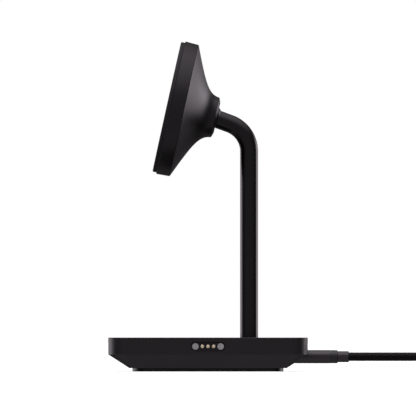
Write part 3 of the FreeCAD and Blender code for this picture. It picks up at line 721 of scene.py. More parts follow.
def rounded_rectangle(
    half_x: float, half_y: float, corner: float, steps: int = 10
) -> list[Point2]:
    """Outline of a rectangle with round corners, from the +X side round to it again.

    Args:
        half_x: Half the width.
        half_y: Half the length.
        corner: Corner radius.
        steps: Stretches of each corner.

    Returns:
        Points in order, counterclockwise.
    """
    points = []
    for quarter, (sx, sy) in enumerate(((1, 1), (-1, 1), (-1, -1), (1, -1))):
        for step in range(steps + 1):
            t = math.radians(QUARTER * (quarter + step / steps))
            x = sx * (half_x - corner) + corner * math.cos(t)
            y = sy * (half_y - corner) + corner * math.sin(t)
            points.append((x, y))
    return points


@dataclass
class Base:
    """Weighted base: cover, pan and foot pad.

    Attributes:
        foot_half: Half the foot pad's width.
        foot_corner: Corner radius of the foot pad.
        foot_height: Height of the foot pad.
        foot_round: Rounding of the pad's lower edge.
        round_steps: Stretches of that rounding.
        groove_inset: Distance of the pad's groove from its edge.
        groove_width: Width of that groove.
        groove_depth: Depth of that groove.
        groove_slope: How far each side of that groove leans.
    """

    foot_half: float = 33.35
    foot_corner: float = 8.0
    foot_height: float = 1.5
    foot_round: float = 0.18
    round_steps: int = 4
    groove_inset: float = 3.0
    groove_width: float = 1.0
    groove_depth: float = 0.4
    groove_slope: float = 0.15

    def build(self) -> None:
        """Dresses the shells and what is inside them, and makes the foot pad."""
        dress_nodes(Finishes.SHELL, "base_cover", "base_pan")
        dress_nodes(Finishes.STEEL, "base_weight", "base_screws", "board_screws")
        dress_nodes(Finishes.BOARD, "main_board")
        dress_nodes(Finishes.COMPONENT, "board_parts")
        dress_nodes(Finishes.LEAD, "supply_lead")
        self.foot()

    def foot(self) -> None:
        """Foot pad with a rounded lower edge and a groove round its underside."""
        levels = [(0.0, self.foot_height), (0.0, self.foot_round)]
        for step in range(1, self.round_steps + 1):
            t = math.radians(QUARTER * step / self.round_steps)
            inset = self.foot_round * (1.0 - math.cos(t))
            levels.append((inset, self.foot_round * (1.0 - math.sin(t))))
        near, far = self.groove_inset, self.groove_inset + self.groove_width
        levels += [
            (near, 0.0),
            (near + self.groove_slope, self.groove_depth),
            (far - self.groove_slope, self.groove_depth),
            (far, 0.0),
        ]
        mesher = Mesher()
        rings = []
        for inset, z in levels:
            half = self.foot_half - inset
            outline = rounded_rectangle(half, half, self.foot_corner - inset)
            rings.append(mesher.ring([Vector((x, y, z)) for x, y in outline]))
        mesher.loft(rings)
        pad = mesher.make("foot_pad_soft", Finishes.FOOT)
        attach(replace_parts(pad, "foot_pad"), "stand")


@dataclass
class Port:
    """Contact port in the side of the base.

    Attributes:
        height: Height of the row of contacts.
        face: Distance of the port's face from the stand's middle.
        contacts: Number of contacts.
        pitch: Distance between contacts.
        pin_radius: Radius of a contact.
        pin_length: Length of a contact.
        pin_stand: How far a contact stands out of the face.
        pin_edge: Chamfer on a contact's inner end.
        pin_dome: Rounding of a contact's tip.
        pin_crown: Rise of the tip's middle over that rounding.
        dome_steps: Stretches of that rounding.
        pin_sides: Points round a contact.
        magnet_radius: Radius of a magnet.
        magnet_length: Length of a magnet.
        magnet_side: Distance of a magnet from the middle.
        magnet_sides: Points round a magnet.
        chamfer: Chamfer on the magnets.
        spring_seat: Where the closed ends of the barrels are.
        spring_radius: Radius of a spring's turns.
        spring_wire: Thickness of its wire.
        spring_turns: Number of its turns.
        spring_gap: Room at each end of a spring.
        spring_keep: Share of its length that is left when its contact is pressed in. Not used.
    """

    height: float = 11.07
    face: float = 43.6
    contacts: int = 3
    pitch: float = 2.5
    pin_radius: float = 0.85
    pin_length: float = 3.9
    pin_stand: float = 0.3
    pin_edge: float = 0.1
    pin_dome: float = 0.42
    pin_crown: float = 0.05
    dome_steps: int = 8
    pin_sides: int = 40
    magnet_radius: float = 1.57
    magnet_length: float = 1.9
    magnet_side: float = 5.56
    magnet_sides: int = 48
    chamfer: float = 0.15
    spring_seat: float = 38.3
    spring_radius: float = 0.55
    spring_wire: float = 0.2
    spring_turns: int = 4
    spring_gap: float = 0.02
    spring_keep: float = 0.63

    def build(self) -> None:
        """Dresses the carrier and makes the magnets, the contacts and their springs."""
        dress_nodes(Finishes.PORT, "port_housing")
        dress_nodes(Finishes.GOLD, "contact_barrels")
        for index in range(1, self.contacts + 1):
            self.spring(index)
            self.pin(index)
        self.magnets()

    def side(self, index: int) -> float:
        """Place of a contact along the row, from the row's middle."""
        return self.pitch * (index - (self.contacts + 1) / 2)

    def pin(self, index: int) -> None:
        """Plunger with a domed tip.

        Args:
            index: Number of the contact, from the front of the stand.
        """
        edge, dome = self.pin_edge, self.pin_dome
        outline = [(0.0, 0.0), (self.pin_radius - edge, 0.0), (self.pin_radius, edge)]
        for step in range(self.dome_steps + 1):
            t = math.radians(QUARTER * step / self.dome_steps)
            radius = self.pin_radius - dome + dome * math.cos(t)
            depth = self.pin_length - self.pin_crown - dome + dome * math.sin(t)
            outline.append((radius, depth))
        outline.append((0.0, self.pin_length))
        inner = self.face + self.pin_stand - self.pin_length
        start = Vector((inner, self.side(index), self.height))
        mesher = Mesher()
        lathe(outline, along(start, X_AXIS), self.pin_sides, mesher)
        pin = mesher.make(f"contact_plunger_{index}", Finishes.GOLD)
        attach(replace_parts(pin, f"contact_pin_{index}"), f"contact_pin_{index}")

    def spring(self, index: int, per_turn: int = 24, around: int = 10) -> None:
        """Coil spring behind a contact.

        Args:
            index: Number of the contact, from the front of the stand.
            per_turn: Points on each turn.
            around: Points round the wire.
        """
        middle = Vector((0.0, self.side(index), self.height))
        wire = self.spring_wire / 2
        start = self.spring_seat + wire + self.spring_gap
        end = self.face + self.pin_stand - self.pin_length - wire - self.spring_gap
        rise = (end - start) / self.spring_turns / TURN
        steps = self.spring_turns * per_turn
        angles = [TURN * i / around for i in range(around)]
        mesher = Mesher()
        rings = []
        for step in range(steps + 1):
            turn = TURN * step / per_turn
            outward = Vector((0.0, math.cos(turn), math.sin(turn)))
            ahead = Vector(
                (rise, -self.spring_radius * outward.z, self.spring_radius * outward.y)
            ).normalized()
            across = ahead.cross(outward)
            at = middle + outward * self.spring_radius
            at.x = start + (end - start) * step / steps
            circle = [at + (outward * math.cos(t) + across * math.sin(t)) * wire for t in angles]
            rings.append(mesher.ring(circle))
        mesher.loft(rings)
        node = f"contact_spring_{index}"
        spring = mesher.make(f"return_spring_{index}", Finishes.STEEL)
        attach(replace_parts(spring, node), "stand")
        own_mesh(spring)

    def magnets(self) -> None:
        """Two round magnets with chamfered edges."""
        edge = self.chamfer
        outline = [
            (0.0, 0.0),
            (self.magnet_radius, 0.0),
            (self.magnet_radius, self.magnet_length - edge),
            (self.magnet_radius - edge, self.magnet_length),
            (0.0, self.magnet_length),
        ]
        mesher = Mesher()
        for side in (-self.magnet_side, self.magnet_side):
            start = Vector((self.face - self.magnet_length, side, self.height))
            lathe(outline, along(start, X_AXIS), self.magnet_sides, mesher)
        pair = mesher.make("port_magnet_pair", Finishes.NICKEL)
        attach(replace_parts(pair, "port_magnets"), "stand")


@dataclass
class Stem:
    """Bent tube with its foot, its lead and the ball on its end."""

    def build(self) -> None:
        """Dresses the stem's nodes."""
        dress_nodes(Finishes.STEM, "stem_tube")
        dress_nodes(Finishes.STEEL, "stem_flange", "flange_screws")
        dress_nodes(Finishes.LEAD, "stem_lead")
        dress_nodes(Finishes.BALL, "ball_stud")


@dataclass
class Head:
    """Charging head: bell, face pad, neck ring and the parts inside.

    Depths run backwards from the face.

    Attributes:
        face_radius: Radius of the face pad.
        face_depth: Depth of the face pad.
        face_round: Rounding of the pad's front edge.
        pad_edge: Rounding of the pad's rear edge.
        rim_radius: Radius of the rim in front.
        rim_edge: Rounding of the rim's front edge.
        rim_rear: Radius of the rim at its rear edge.
        rim_depth: Depth of that edge.
        rim_round: Rounding of that edge.
        neck_radius: Radius of the neck's end.
        neck_depth: Depth of the neck's end.
        neck_edge: Rounding of the neck's end.
        flank_angle: Angle of the flank to the axis behind the rim, in degrees.
        flank_pull: Length of the flank's handle.
        neck_angle: Angle of the neck's end to the axis, in degrees.
        neck_pull: Length of the neck's handle.
        ball_depth: Depth of the ball's centre.
        seat_radius: Radius of the ball's seat.
        seat_arc: Angles to the axis at which the seat starts and ends, in degrees.
        seat_steps: Stretches of the seat.
        bore_radius: Radius of the neck's bore.
        bore_start: How far behind the ball's centre the bore starts.
        bore_edge: Rounding of the bore's end.
        plate_radius: Radius of the seat of the face plate.
        plate_depth: Depth of the ledge under the face plate.
        cavity_radius: Radius of the hollow.
        cavity_depth: Depth from which the hollow narrows.
        floor_radius: Radius of the hollow's floor.
        floor_depth: Depth of that floor.
        segments: Points round the axis.
    """

    face_radius: float = 29.44
    face_depth: float = 1.86
    face_round: float = 0.5
    pad_edge: float = 0.1
    rim_radius: float = 30.08
    rim_edge: float = 0.22
    rim_rear: float = 29.8
    rim_depth: float = 7.9
    rim_round: float = 0.55
    neck_radius: float = 9.0
    neck_depth: float = 21.95
    neck_edge: float = 0.08
    flank_angle: float = 67.0
    flank_pull: float = 18.0
    neck_angle: float = 6.0
    neck_pull: float = 5.0
    ball_depth: float = 19.15
    seat_radius: float = 6.68
    seat_arc: Point2 = (88.0, 152.0)
    seat_steps: int = 12
    bore_radius: float = 7.85
    bore_start: float = 0.2
    bore_edge: float = 0.1
    plate_radius: float = 27.9
    plate_depth: float = 3.06
    cavity_radius: float = 26.9
    cavity_depth: float = 7.1
    floor_radius: float = 16.9
    floor_depth: float = 11.37
    segments: int = 192

    @staticmethod
    def mount() -> dict:
        """The record's mount of the charging face."""
        return next(m for m in frame["record"]["mounts"] if m["name"] == "phone_face")

    @staticmethod
    def centre() -> Vector:
        """Middle of the face, in metres."""
        return Vector(Head.mount()["pos_m"])

    @staticmethod
    def normal() -> Vector:
        """Way that the face looks."""
        return Vector(Head.mount()["axis"]).normalized()

    def place(self) -> Matrix:
        """Frame whose local Z runs backwards from the face, in millimetres."""
        return along(self.centre() / MM, -self.normal())

    def build(self) -> None:
        """Makes the visible pieces and dresses the ring and the parts inside."""
        dress_nodes(Finishes.SHELL, "face_plate")
        dress_nodes(Finishes.COIL, "charging_coil")
        dress_nodes(Finishes.FERRITE, "ferrite_shield")
        dress_nodes(Finishes.NICKEL, "alignment_magnets")
        dress_nodes(Finishes.STEEL, "magnet_backplate")
        dress_nodes(Finishes.BOARD, "head_board")
        dress_nodes(Finishes.COMPONENT, "head_board_parts")
        dress_nodes(Finishes.LEAD, "head_lead")
        dress_nodes(Finishes.CUP, "ball_front_cup", "ball_rear_cup")
        dress_nodes(Finishes.BELL, "neck_ring")
        self.bell()
        self.face()

    def flank(self, steps: int = 48) -> list[Point2]:
        """Sweep from the rim's rear edge to the neck's end.

        Args:
            steps: Number of stretches.

        Returns:
            Points of radius and depth, without the first two, which leaves that edge
            room for its rounding.
        """
        flank, neck = math.radians(self.flank_angle), math.radians(self.neck_angle)
        start = Vector((self.rim_rear, self.rim_depth))
        end = Vector((self.neck_radius, self.neck_depth))
        first = start + Vector((-math.sin(flank), math.cos(flank))) * self.flank_pull
        second = end - Vector((-math.sin(neck), math.cos(neck))) * self.neck_pull
        points = []
        for step in range(2, steps + 1):
            t = step / steps
            s = 1.0 - t
            at = start * s**3 + first * (3 * s * s * t) + second * (3 * s * t * t) + end * t**3
            points.append(tuple(at))
        return points

    def seat(self) -> list[Point2]:
        """Arc of the ball's seat.

        Returns:
            Points of radius and depth, from the bore forwards.
        """
        first, last = self.seat_arc
        points = []
        for step in range(self.seat_steps + 1):
            t = math.radians(first + (last - first) * step / self.seat_steps)
            depth = self.ball_depth + self.seat_radius * math.cos(t)
            points.append((self.seat_radius * math.sin(t), depth))
        return points

    def bell(self) -> None:
        """Bell with softened edges, hollow as the solid is."""
        front = [
            (self.plate_radius, self.face_depth),
            (self.rim_radius, self.face_depth),
            (self.rim_rear, self.rim_depth),
        ]
        sweep = self.flank()
        bore = [
            (self.bore_radius, self.neck_depth),
            (self.bore_radius, self.ball_depth + self.bore_start),
        ]
        seat = self.seat()
        hollow = [
            (seat[-1][0], self.floor_depth),
            (self.floor_radius, self.floor_depth),
            (self.cavity_radius, self.cavity_depth),
            (self.cavity_radius, self.plate_depth),
            (self.plate_radius, self.plate_depth),
        ]
        outline = front + sweep + bore + seat + hollow
        rounds = [0.0, self.rim_edge, self.rim_round] + [0.0] * (len(sweep) - 1)
        rounds += [self.neck_edge, self.bore_edge]
        rounds += [0.0] * (len(outline) - len(rounds))
        mesher = Mesher()
        lathe(soften(outline, rounds), self.place(), self.segments, mesher)
        bell = mesher.make("bell_housing", Finishes.BELL)
        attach(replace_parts(bell, "head_bell"), "head")

    def face(self) -> None:
        """Face pad with a rounded front edge."""
        radius, depth = self.face_radius, self.face_depth
        outline = [(0.0, 0.0), (radius, 0.0), (radius, depth), (0.0, depth)]
        rounds = [0.0, self.face_round, self.pad_edge, 0.0]
        mesher = Mesher()
        lathe(soften(outline, rounds), self.place(), self.segments, mesher)
        pad = mesher.make("face_pad_soft", Finishes.FACE)
        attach(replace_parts(pad, "face_pad"), "head")


@dataclass
class Gland:
    """Stepped strain relief where the cable leaves the base.

    Attributes:
        height: Height of its axis.
        start: Where it begins inside the base.
        sleeve_end: End of its sleeve.
        sleeve_radius: Radius of the sleeve.
        collar_end: End of its collar, where the cable leaves.
        collar_radius: Radius of the collar.
        grooves: Distances of the ring grooves from the sleeve's end.
        groove: Outline of a groove, as distances along the sleeve and depths.
        groove_round: Rounding of a groove's edges.
        end_rounds: Rounding of the sleeve's end, of the step and of the collar's end.
        sides: Points round the axis.
    """

    height: float = 6.52
    start: float = 35.3
    sleeve_end: float = 57.4
    sleeve_radius: float = 2.95
    collar_end: float = 62.4
    collar_radius: float = 2.45
    grooves: tuple[float, ...] = (3.2, 2.2, 1.2)
    groove: tuple[Point2, ...] = ((0.0, 0.0), (0.1, 0.1), (0.3, 0.1), (0.4, 0.0))
    groove_round: float = 0.04
    end_rounds: Point3 = (0.45, 0.15, 0.4)
    sides: int = 72

    def build(self) -> bpy.types.Object:
        """Makes the strain relief with soft edges and fine ring grooves.

        Returns:
            The strain relief.
        """
        outer, step = self.sleeve_radius, self.collar_radius
        reach, end = self.sleeve_end - self.start, self.collar_end - self.start
        points: list[Point2] = [(0.0, 0.0), (outer, 0.0)]
        rounds = [0.0, 0.0]
        for back in self.grooves:
            points += [(outer - depth, reach - back + ahead) for ahead, depth in self.groove]
            rounds += [self.groove_round] * len(self.groove)
        points += [(outer, reach), (step, reach), (step, end), (0.0, end)]
        rounds += [*self.end_rounds, 0.0]
        place = along(Vector((0.0, self.start, self.height)), Y_AXIS)
        mesher = Mesher()
        lathe(soften(points, rounds), place, self.sides, mesher)
        gland = mesher.make("cable_sleeve", Finishes.GLAND)
        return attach(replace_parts(gland, "cable_gland"), "stand")


@dataclass
class Strap:
    """Strap round the cable's coil, with rounded bends.

    Attributes:
        thickness: Its thickness.
        width: Its width.
        angle: Where it crosses the coil, in degrees from the +X side.
        edge: Rounding of its outer edges.
        edge_steps: Stretches of that rounding.
        bend: Radius of its bends inside.
        bend_steps: Stretches of a bend.
    """

    thickness: float = 0.6
    width: float = 11.0
    angle: float = 115.0
    edge: float = 0.25
    edge_steps: int = 3
    bend: float = 1.6
    bend_steps: int = 6

    def section(self) -> list[Point2]:
        """Section across the strap.

        Returns:
            Points of lift over the inner face and place across the strap.
        """
        half, thick = self.width / 2, self.thickness
        corners = [(0.0, -half), (thick, -half), (thick, half), (0.0, half)]
        return soften(corners, [0.0, self.edge, self.edge, 0.0], self.edge_steps)

    def build(self, cable: "Cable") -> bpy.types.Object:
        """Makes the strap.

        Args:
            cable: Cable whose coil it holds.

        Returns:
            The strap.
        """
        inner, outer = cable.inner_turn - cable.radius, cable.outer_turn + cable.radius
        low, high = self.thickness, cable.layers[0] + 3 * cable.radius + cable.radius
        middle = ((inner + outer) / 2, (low + high) / 2)
        half = ((outer - inner) / 2, (high - low) / 2)
        # The second outline is 1 mm outside the first, so that a lift counts in millimetres.
        inside, outside = (
            rounded_rectangle(half[0] + out, half[1] + out, self.bend + out, self.bend_steps)
            for out in (0.0, 1.0)
        )
        angle = math.radians(self.angle)
        ahead = Vector((math.cos(angle), math.sin(angle), 0.0))
        across = Vector((-math.sin(angle), math.cos(angle), 0.0))
        start = Vector((*cable.coil_centre, 0.0))
        section = self.section()
        mesher = Mesher()
        rings = []
        for (r0, z0), (r1, z1) in zip(inside, outside):
            ring = []
            for lift, place in section:
                r = middle[0] + r0 + (r1 - r0) * lift
                z = middle[1] + z0 + (z1 - z0) * lift
                ring.append(start + ahead * r + across * place + Vector((0.0, 0.0, z)))
            rings.append(mesher.ring(ring))
        mesher.stack(rings, closed=True)
        tie = mesher.make("coil_strap", Finishes.STRAP)
        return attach(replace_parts(tie, "cable_tie"), "stand")


@dataclass
class Plug:
    """Plug at the cable's end.

    A section of its grip is half its width, half its thickness and its corner radius, and
    those of the nose and the end have their distance from the cable's end in front.

    Attributes:
        nose: Sections of the tapered nose.
        body: Section of the grip.
        body_start: Where the full section starts.
        body_end: Where it ends.
        end: Sections of the rounded end.
        dent: Section in a finger groove.
        dents: Number of finger grooves.
        dent_start: Where the first one starts.
        dent_pitch: Distance between them.
        dent_steps: From a groove's start to its floor, to the floor's end and to its own end.
        corner_steps: Stretches of each corner.
    """

    nose: tuple[tuple[float, ...], ...] = (
        (0.0, 1.92, 1.92, 1.9),
        (3.4, 2.4, 2.4, 2.38),
        (4.0, 4.4, 2.9, 2.6),
        (4.6, 5.3, 3.15, 2.6),
    )
    body: Point3 = (5.8, 3.25, 2.6)
    body_start: float = 5.6
    body_end: float = 22.2
    end: tuple[tuple[float, ...], ...] = ((22.7, 5.6, 3.05, 2.5), (23.0, 5.2, 2.7, 2.3))
    dent: Point3 = (5.55, 3.0, 2.4)
    dents: int = 4
    dent_start: float = 9.0
    dent_pitch: float = 1.8
    dent_steps: Point3 = (0.3, 0.7, 1.0)
    corner_steps: int = 8

    def sections(self) -> list[tuple[float, ...]]:
        """Sections of the whole grip.

        Returns:
            Distance, half width, half thickness and corner radius of each.
        """
        sections = [*self.nose, (self.body_start, *self.body)]
        floor, floor_end, dent_end = self.dent_steps
        for index in range(self.dents):
            at = self.dent_start + self.dent_pitch * index
            sections += [
                (at, *self.body),
                (at + floor, *self.dent),
                (at + floor_end, *self.dent),
                (at + dent_end, *self.body),
            ]
        return sections + [(self.body_end, *self.body), *self.end]

    def build(self, tail: Sequence[Point3]) -> bpy.types.Object:
        """Dresses the shell and makes the grip with its shallow finger ribs.

        Args:
            tail: Route of the cable up to the plug.

        Returns:
            The grip.
        """
        dress_nodes(Finishes.NICKEL, "usb_plug_shell")
        end = Vector(tail[-1])
        way = end - Vector(tail[-2])
        way.z = 0.0
        heading = way.normalized()
        beside = Z_AXIS.cross(heading)
        mesher = Mesher()
        rings = []
        for at, half_w, half_t, corner in self.sections():
            outline = rounded_rectangle(half_w, half_t, corner, self.corner_steps)
            base = end + heading * at
            rings.append(mesher.ring([base + beside * a + Z_AXIS * b for a, b in outline]))
        mesher.loft(rings)
        grip = mesher.make("plug_grip", Finishes.GLAND, sharp=40.0)
        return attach(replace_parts(grip, "usb_plug_grip"), "stand")


@dataclass
class Cable:
    """Braided cable in a tied coil, with its strain relief and its plug.

    Attributes:
        radius: Radius of the cable.
        level: Places along the straight run behind the strain relief.
        dip: Place and height where the run comes down to the coil.
        coil_centre: Middle of the coil in plan.
        outer_turn: Radius of the coil's outermost turn.
        inner_turn: Radius of its innermost turn.
        turns: Turns in each layer.
        layers: Heights of the two layers.
        per_turn: Points on each turn.
        corner_share: Share of the spline's cut corners that the turns make up for.
        climb: Degrees over which the cable climbs to the second layer.
        tail: Route from the coil to the plug.
        length: Real length of the cable, in metres. Not used.
        resolution: Points of the smooth line on each stretch of the route.
        sides: Points round the cable.
        gland: Its strain relief.
        strap: The strap round its coil.
        plug: Its plug.
    """

    radius: float = 1.9
    level: Point2 = (85.3, 99.0)
    dip: Point2 = (112.5, 4.1)
    coil_centre: Point2 = (-29.5, 127.5)
    outer_turn: float = 29.5
    inner_turn: float = 15.0
    turns: float = 3.75
    layers: Point2 = (2.5, 6.32)
    per_turn: int = 24
    corner_share: float = 0.75
    climb: float = 75.0
    tail: tuple[Point3, ...] = (
        (-58.6, 120.6, 7.8),
        (-50.9, 109.4, 10.8),
        (-37.8, 105.2, 11.3),
        (-24.7, 109.4, 11.45),
        (-16.6, 120.6, 11.45),
        (-15.0, 130.0, 11.45),
    )
    length: float = 1.18
    resolution: int = 8
    sides: int = 20
    gland: Gland = field(default_factory=Gland)
    strap: Strap = field(default_factory=Strap)
    plug: Plug = field(default_factory=Plug)

    def build(self) -> None:
        """Makes the strain relief, the strap, the plug and the cable."""
        gland = self.gland.build()
        tie = self.strap.build(self)
        grip = self.plug.build(self.tail)
        cord, path = self.cord()

    def coil_point(self, share: float, z: float, inward: bool) -> Vector:
        """Point on a layer of the coil.

        Args:
            share: Turns from the layer's start.
            z: Height.
            inward: Whether the layer winds towards the middle.

        Returns:
            The point, with the radius enlarged for the spline's cut corners.
        """
        span = (self.outer_turn - self.inner_turn) * share / self.turns
        radius = self.outer_turn - span if inward else self.inner_turn + span
        radius *= 1.0 + (1.0 - math.cos(math.pi / self.per_turn)) * self.corner_share
        turn = TURN * (share if inward else share + self.turns)
        x, y = self.coil_centre
        return Vector((x + radius * math.cos(turn), y + radius * math.sin(turn), z))

    def route(self) -> list[Vector]:
        """Route of the cable.

        Returns:
            Control points of its line, from the strain relief to the plug.
        """
        low, high = self.layers
        run = [(y, self.gland.height) for y in (self.gland.collar_end, *self.level)]
        points = [Vector((0.0, y, z)) for y, z in (*run, self.dip)]
        count = int(self.turns * self.per_turn)
        points += [self.coil_point(i / self.per_turn, low, True) for i in range(count + 1)]
        for i in range(1, count + 1):
            share = i / self.per_turn
            rise = min(share * 360.0 / self.climb, 1.0)
            points.append(self.coil_point(share, low + (high - low) * rise, False))
        return points + [Vector(p) for p in self.tail]

    def line(self) -> list[Vector]:
        """Smooth line through the route.

        Returns:
            Points along it, in millimetres.
        """
        curve = bpy.data.curves.new("cable_line", "CURVE")
        curve.dimensions = "3D"
        curve.resolution_u = self.resolution
        spline = curve.splines.new("NURBS")
        route = self.route()
        spline.points.add(len(route) - 1)
        for point, at in zip(spline.points, route):
            point.co = (*at, 1.0)
        spline.order_u = 3
        spline.use_endpoint_u = True
        holder = add_object("cable_line", curve)
        bpy.context.view_layer.update()
        evaluated = holder.evaluated_get(bpy.context.evaluated_depsgraph_get())
        mesh = bpy.data.meshes.new_from_object(evaluated)
        points = [v.co.copy() for v in mesh.vertices]
        bpy.data.meshes.remove(mesh)
        bpy.data.objects.remove(holder)
        bpy.data.curves.remove(curve)
        return points

    def cord(self) -> tuple[bpy.types.Object, list[Vector]]:
        """Braided cable as a tube along its line.

        Returns:
            The cable and the points it follows, in metres.
        """
        line = self.line()
        sides = self.sides
        turns = [TURN * k / sides for k in range(sides)]
        mesher = Mesher()
        side = X_AXIS
        travelled = 0.0
        rings, lengths = [], []
        for i, at in enumerate(line):
            tangent = (line[min(i + 1, len(line) - 1)] - line[max(i - 1, 0)]).normalized()
            side = (side - tangent * side.dot(tangent)).normalized()
            up = tangent.cross(side)
            around = [at + (side * math.cos(t) + up * math.sin(t)) * self.radius for t in turns]
            rings.append(mesher.ring(around))
            travelled += (at - line[i - 1]).length if i else 0.0
            lengths.append(travelled * MM)
        for i, (low, high) in enumerate(zip(rings, rings[1:])):
            mesher.bridge(low, high)
            for k in range(sides):
                u0, u1 = k / sides, (k + 1) / sides
                v0, v1 = lengths[i], lengths[i + 1]
                mesher.uvs.append([(u0, v0), (u1, v0), (u1, v1), (u0, v1)])
        for ring in (rings[0], rings[-1]):
            mesher.cap(ring)
            mesher.uvs.append([(0.0, 0.0)] * sides)
        cord = mesher.make("braided_cable", Finishes.SHEATH, sharp=60.0)
        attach(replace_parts(cord, "cable_run", "cable_coil", "cable_tail"), "stand")
        LOG.info("cable is %.3f m long", travelled * MM)
        return cord, [p * MM for p in line]


class Axis(Enum):
    """Axes of the direction that light comes from, by their place in it."""

    X = 0
    Y = 1
    Z = 2


@dataclass(frozen=True)
class Fade:
    """Soft step in the strength of a light along one axis of its direction.

    Attributes:
        axis: The axis.
        start: Where the step starts.
        end: Where it ends.
        first: Strength up to the start.
        last: Strength from the end on.
    """

    axis: Axis
    start: float
    end: float
    first: float
    last: float

    def strength(self, tree: NodeTree, direction: Sequence[Socket]) -> Socket:
        """Adds the step to a node tree.

        Args:
            tree: The node tree.
            direction: Sockets with the direction's components.

        Returns:
            Socket with the strength.
        """
        limits, values = (self.start, self.end), (self.first, self.last)
        return tree.mapped(direction[self.axis.value], limits, values, "SMOOTHSTEP")


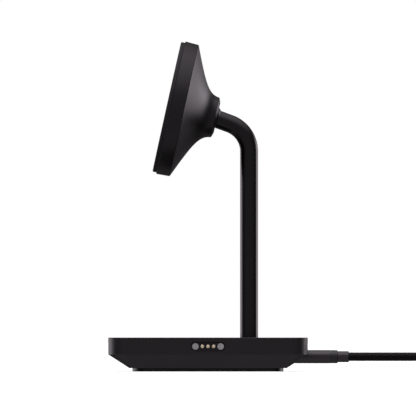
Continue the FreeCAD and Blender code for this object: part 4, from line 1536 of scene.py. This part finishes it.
@dataclass
class Studio:
    """White studio: pale floor, surrounding light and the camera.

    Attributes:
        distance: Camera's distance in front of the contact port's side, in metres.
        eye: Camera's height.
        aim: Height of the point that it looks at.
        lens: Focal length in millimetres.
        sensor: Width of the camera's sensor in millimetres.
        sight: How far the camera sees.
        floor_half: Half the floor's width.
        paper: Colours of the floor.
        paper_grain: Size of the floor's grain in millimetres.
        paper_cloud: Size of the slow change over the floor in millimetres.
        paper_rough: Roughness of the floor.
        glow: Light that the floor gives off itself.
        room_tint: Colour of the light.
        roof_box: Strength of the light from above.
        front_box: Strength of the light from behind, on the side of the stand's front.
        rear_box: Strength of the light from behind, on the cable's side.
        dusk: Strength of the light from the other sides.
        fill: Strength added from the camera's side.
        lift: Strength added from below.
    """

    distance: float = 7.68
    eye: float = 0.015
    aim: float = 0.0724
    lens: float = 1500.0
    sensor: float = 36.0
    sight: float = 200.0
    floor_half: float = 40.0
    paper: tuple[Colour, Colour] = ((0.83, 0.91, 0.843), (0.845, 0.926, 0.858))
    paper_grain: float = 0.6
    paper_cloud: float = 90.0
    paper_rough: float = 0.9
    glow: float = 0.35
    room_tint: Colour = (1.0, 0.91, 0.985)
    roof_box: float = 1.9
    front_box: float = 3.1
    rear_box: float = 5.0
    dusk: float = 0.08
    fill: float = 0.33
    lift: float = 0.27

    def build(self) -> None:
        """Sets the floor, the light and the camera."""
        self.floor()
        self.world()
        self.camera()
        bpy.context.scene.view_settings.view_transform = "Standard"
        bpy.context.scene.view_settings.look = "None"

    def floor(self) -> None:
        """Pale floor under the stand."""
        mesh = bpy.data.meshes.new("studio_floor")
        half = self.floor_half
        corners = [(-half, -half, 0.0), (half, -half, 0.0), (half, half, 0.0), (-half, half, 0.0)]
        mesh.from_pydata(corners, [], [(0, 1, 2, 3)])
        material = bpy.data.materials.new("pale_paper")
        material.use_nodes = True
        shader = material.node_tree.nodes["Principled BSDF"]
        shader.inputs["Specular IOR Level"].default_value = 0.0
        shader.inputs["Roughness"].default_value = self.paper_rough
        shader.inputs["Emission Color"].default_value = WHITE
        shader.inputs["Emission Strength"].default_value = self.glow
        tree = NodeTree(material.node_tree)
        where = tree.place()
        fine, broad = tree.noise(where, self.paper_grain), tree.noise(where, self.paper_cloud)
        tree.ramp_colour(fine, broad, self.paper, shader.inputs["Base Color"])
        mesh.materials.append(material)
        floor = add_object("studio_floor", mesh)
        floor.visible_glossy = False
        floor.visible_diffuse = False

    def boxes(self) -> tuple[tuple[Fade, ...], ...]:
        """Lights of the room, each as the steps that bound it.

        Returns:
            Lights behind on the cable's side, behind on the side of the stand's front,
            above, on the camera's side and below.
        """
        rear = (
            Fade(Axis.X, -0.08, -0.45, 0.0, 1.0),
            Fade(Axis.X, -0.55, -0.9, 1.0, 0.05),
            Fade(Axis.Z, 0.05, 0.45, 1.0, 0.0),
            Fade(Axis.Z, -0.3, 0.1, 0.0, 1.0),
            Fade(Axis.Y, 0.0, 0.4, 0.0, self.rear_box),
        )
        front = (
            Fade(Axis.X, 0.12, -0.4, 0.0, 1.0),
            Fade(Axis.X, -0.6, -0.95, 1.0, 0.1),
            Fade(Axis.Z, 0.14, 0.5, 1.0, 0.0),
            Fade(Axis.Z, -0.31, 0.04, 0.0, 1.0),
            Fade(Axis.Y, 0.0, -0.4, 0.0, self.front_box),
        )
        roof = (
            Fade(Axis.Z, 0.4, 1.0, 0.0, self.roof_box),
            Fade(Axis.X, -0.6, -0.1, 0.35, 1.0),
        )
        fill = (Fade(Axis.X, 0.0, 0.9, 0.0, self.fill),)
        lift = (Fade(Axis.Z, -0.5, -0.9, 0.0, self.lift),)
        return rear, front, roof, fill, lift

    def world(self) -> None:
        """White room lit from above and from behind on both sides, dim towards the camera."""
        world = bpy.data.worlds.new("white_room")
        bpy.context.scene.world = world
        world.use_nodes = True
        world.node_tree.nodes.clear()
        tree = NodeTree(world.node_tree)
        direction = tree.split(tree.place("Generated"))
        light: Value = self.dusk
        for box in self.boxes():
            strengths = [fade.strength(tree, direction) for fade in box]
            light = tree.math("ADD", tree.product(strengths), light)
        room = tree.node("ShaderNodeBackground")
        room.inputs["Color"].default_value = (*self.room_tint, 1.0)
        tree.join(light, room.inputs["Strength"])
        paper = tree.node("ShaderNodeBackground")
        paper.inputs["Color"].default_value = WHITE
        paper.inputs["Strength"].default_value = 1.0
        mix = tree.node("ShaderNodeMixShader")
        tree.join(tree.node("ShaderNodeLightPath").outputs["Is Camera Ray"], mix.inputs["Fac"])
        tree.join(room.outputs[0], mix.inputs[1])
        tree.join(paper.outputs[0], mix.inputs[2])
        tree.join(mix.outputs[0], tree.node("ShaderNodeOutputWorld").inputs["Surface"])

    def camera(self) -> None:
        """Camera level with the base's roof, square to the contact port's side."""
        data = bpy.data.cameras.new("side_camera")
        data.lens = self.lens
        data.sensor_width = self.sensor
        data.clip_end = self.sight
        camera = add_object("side_camera", data)
        camera.location = (self.distance, 0.0, self.eye)
        look = Vector((0.0, 0.0, self.aim)) - camera.location
        camera.rotation_euler = look.to_track_quat("-Z", "Y").to_euler()
        bpy.context.scene.camera = camera


def main() -> None:
    """Builds the sub-assemblies in order."""
    logging.basicConfig(level=logging.INFO, format="%(name)s: %(message)s")
    for part in (Studio(), Cable(), Base(), Port(), Stem(), Head()):
        part.build()
        LOG.info("%s is done", type(part).__name__)


if __name__ == "__main__":
    main()
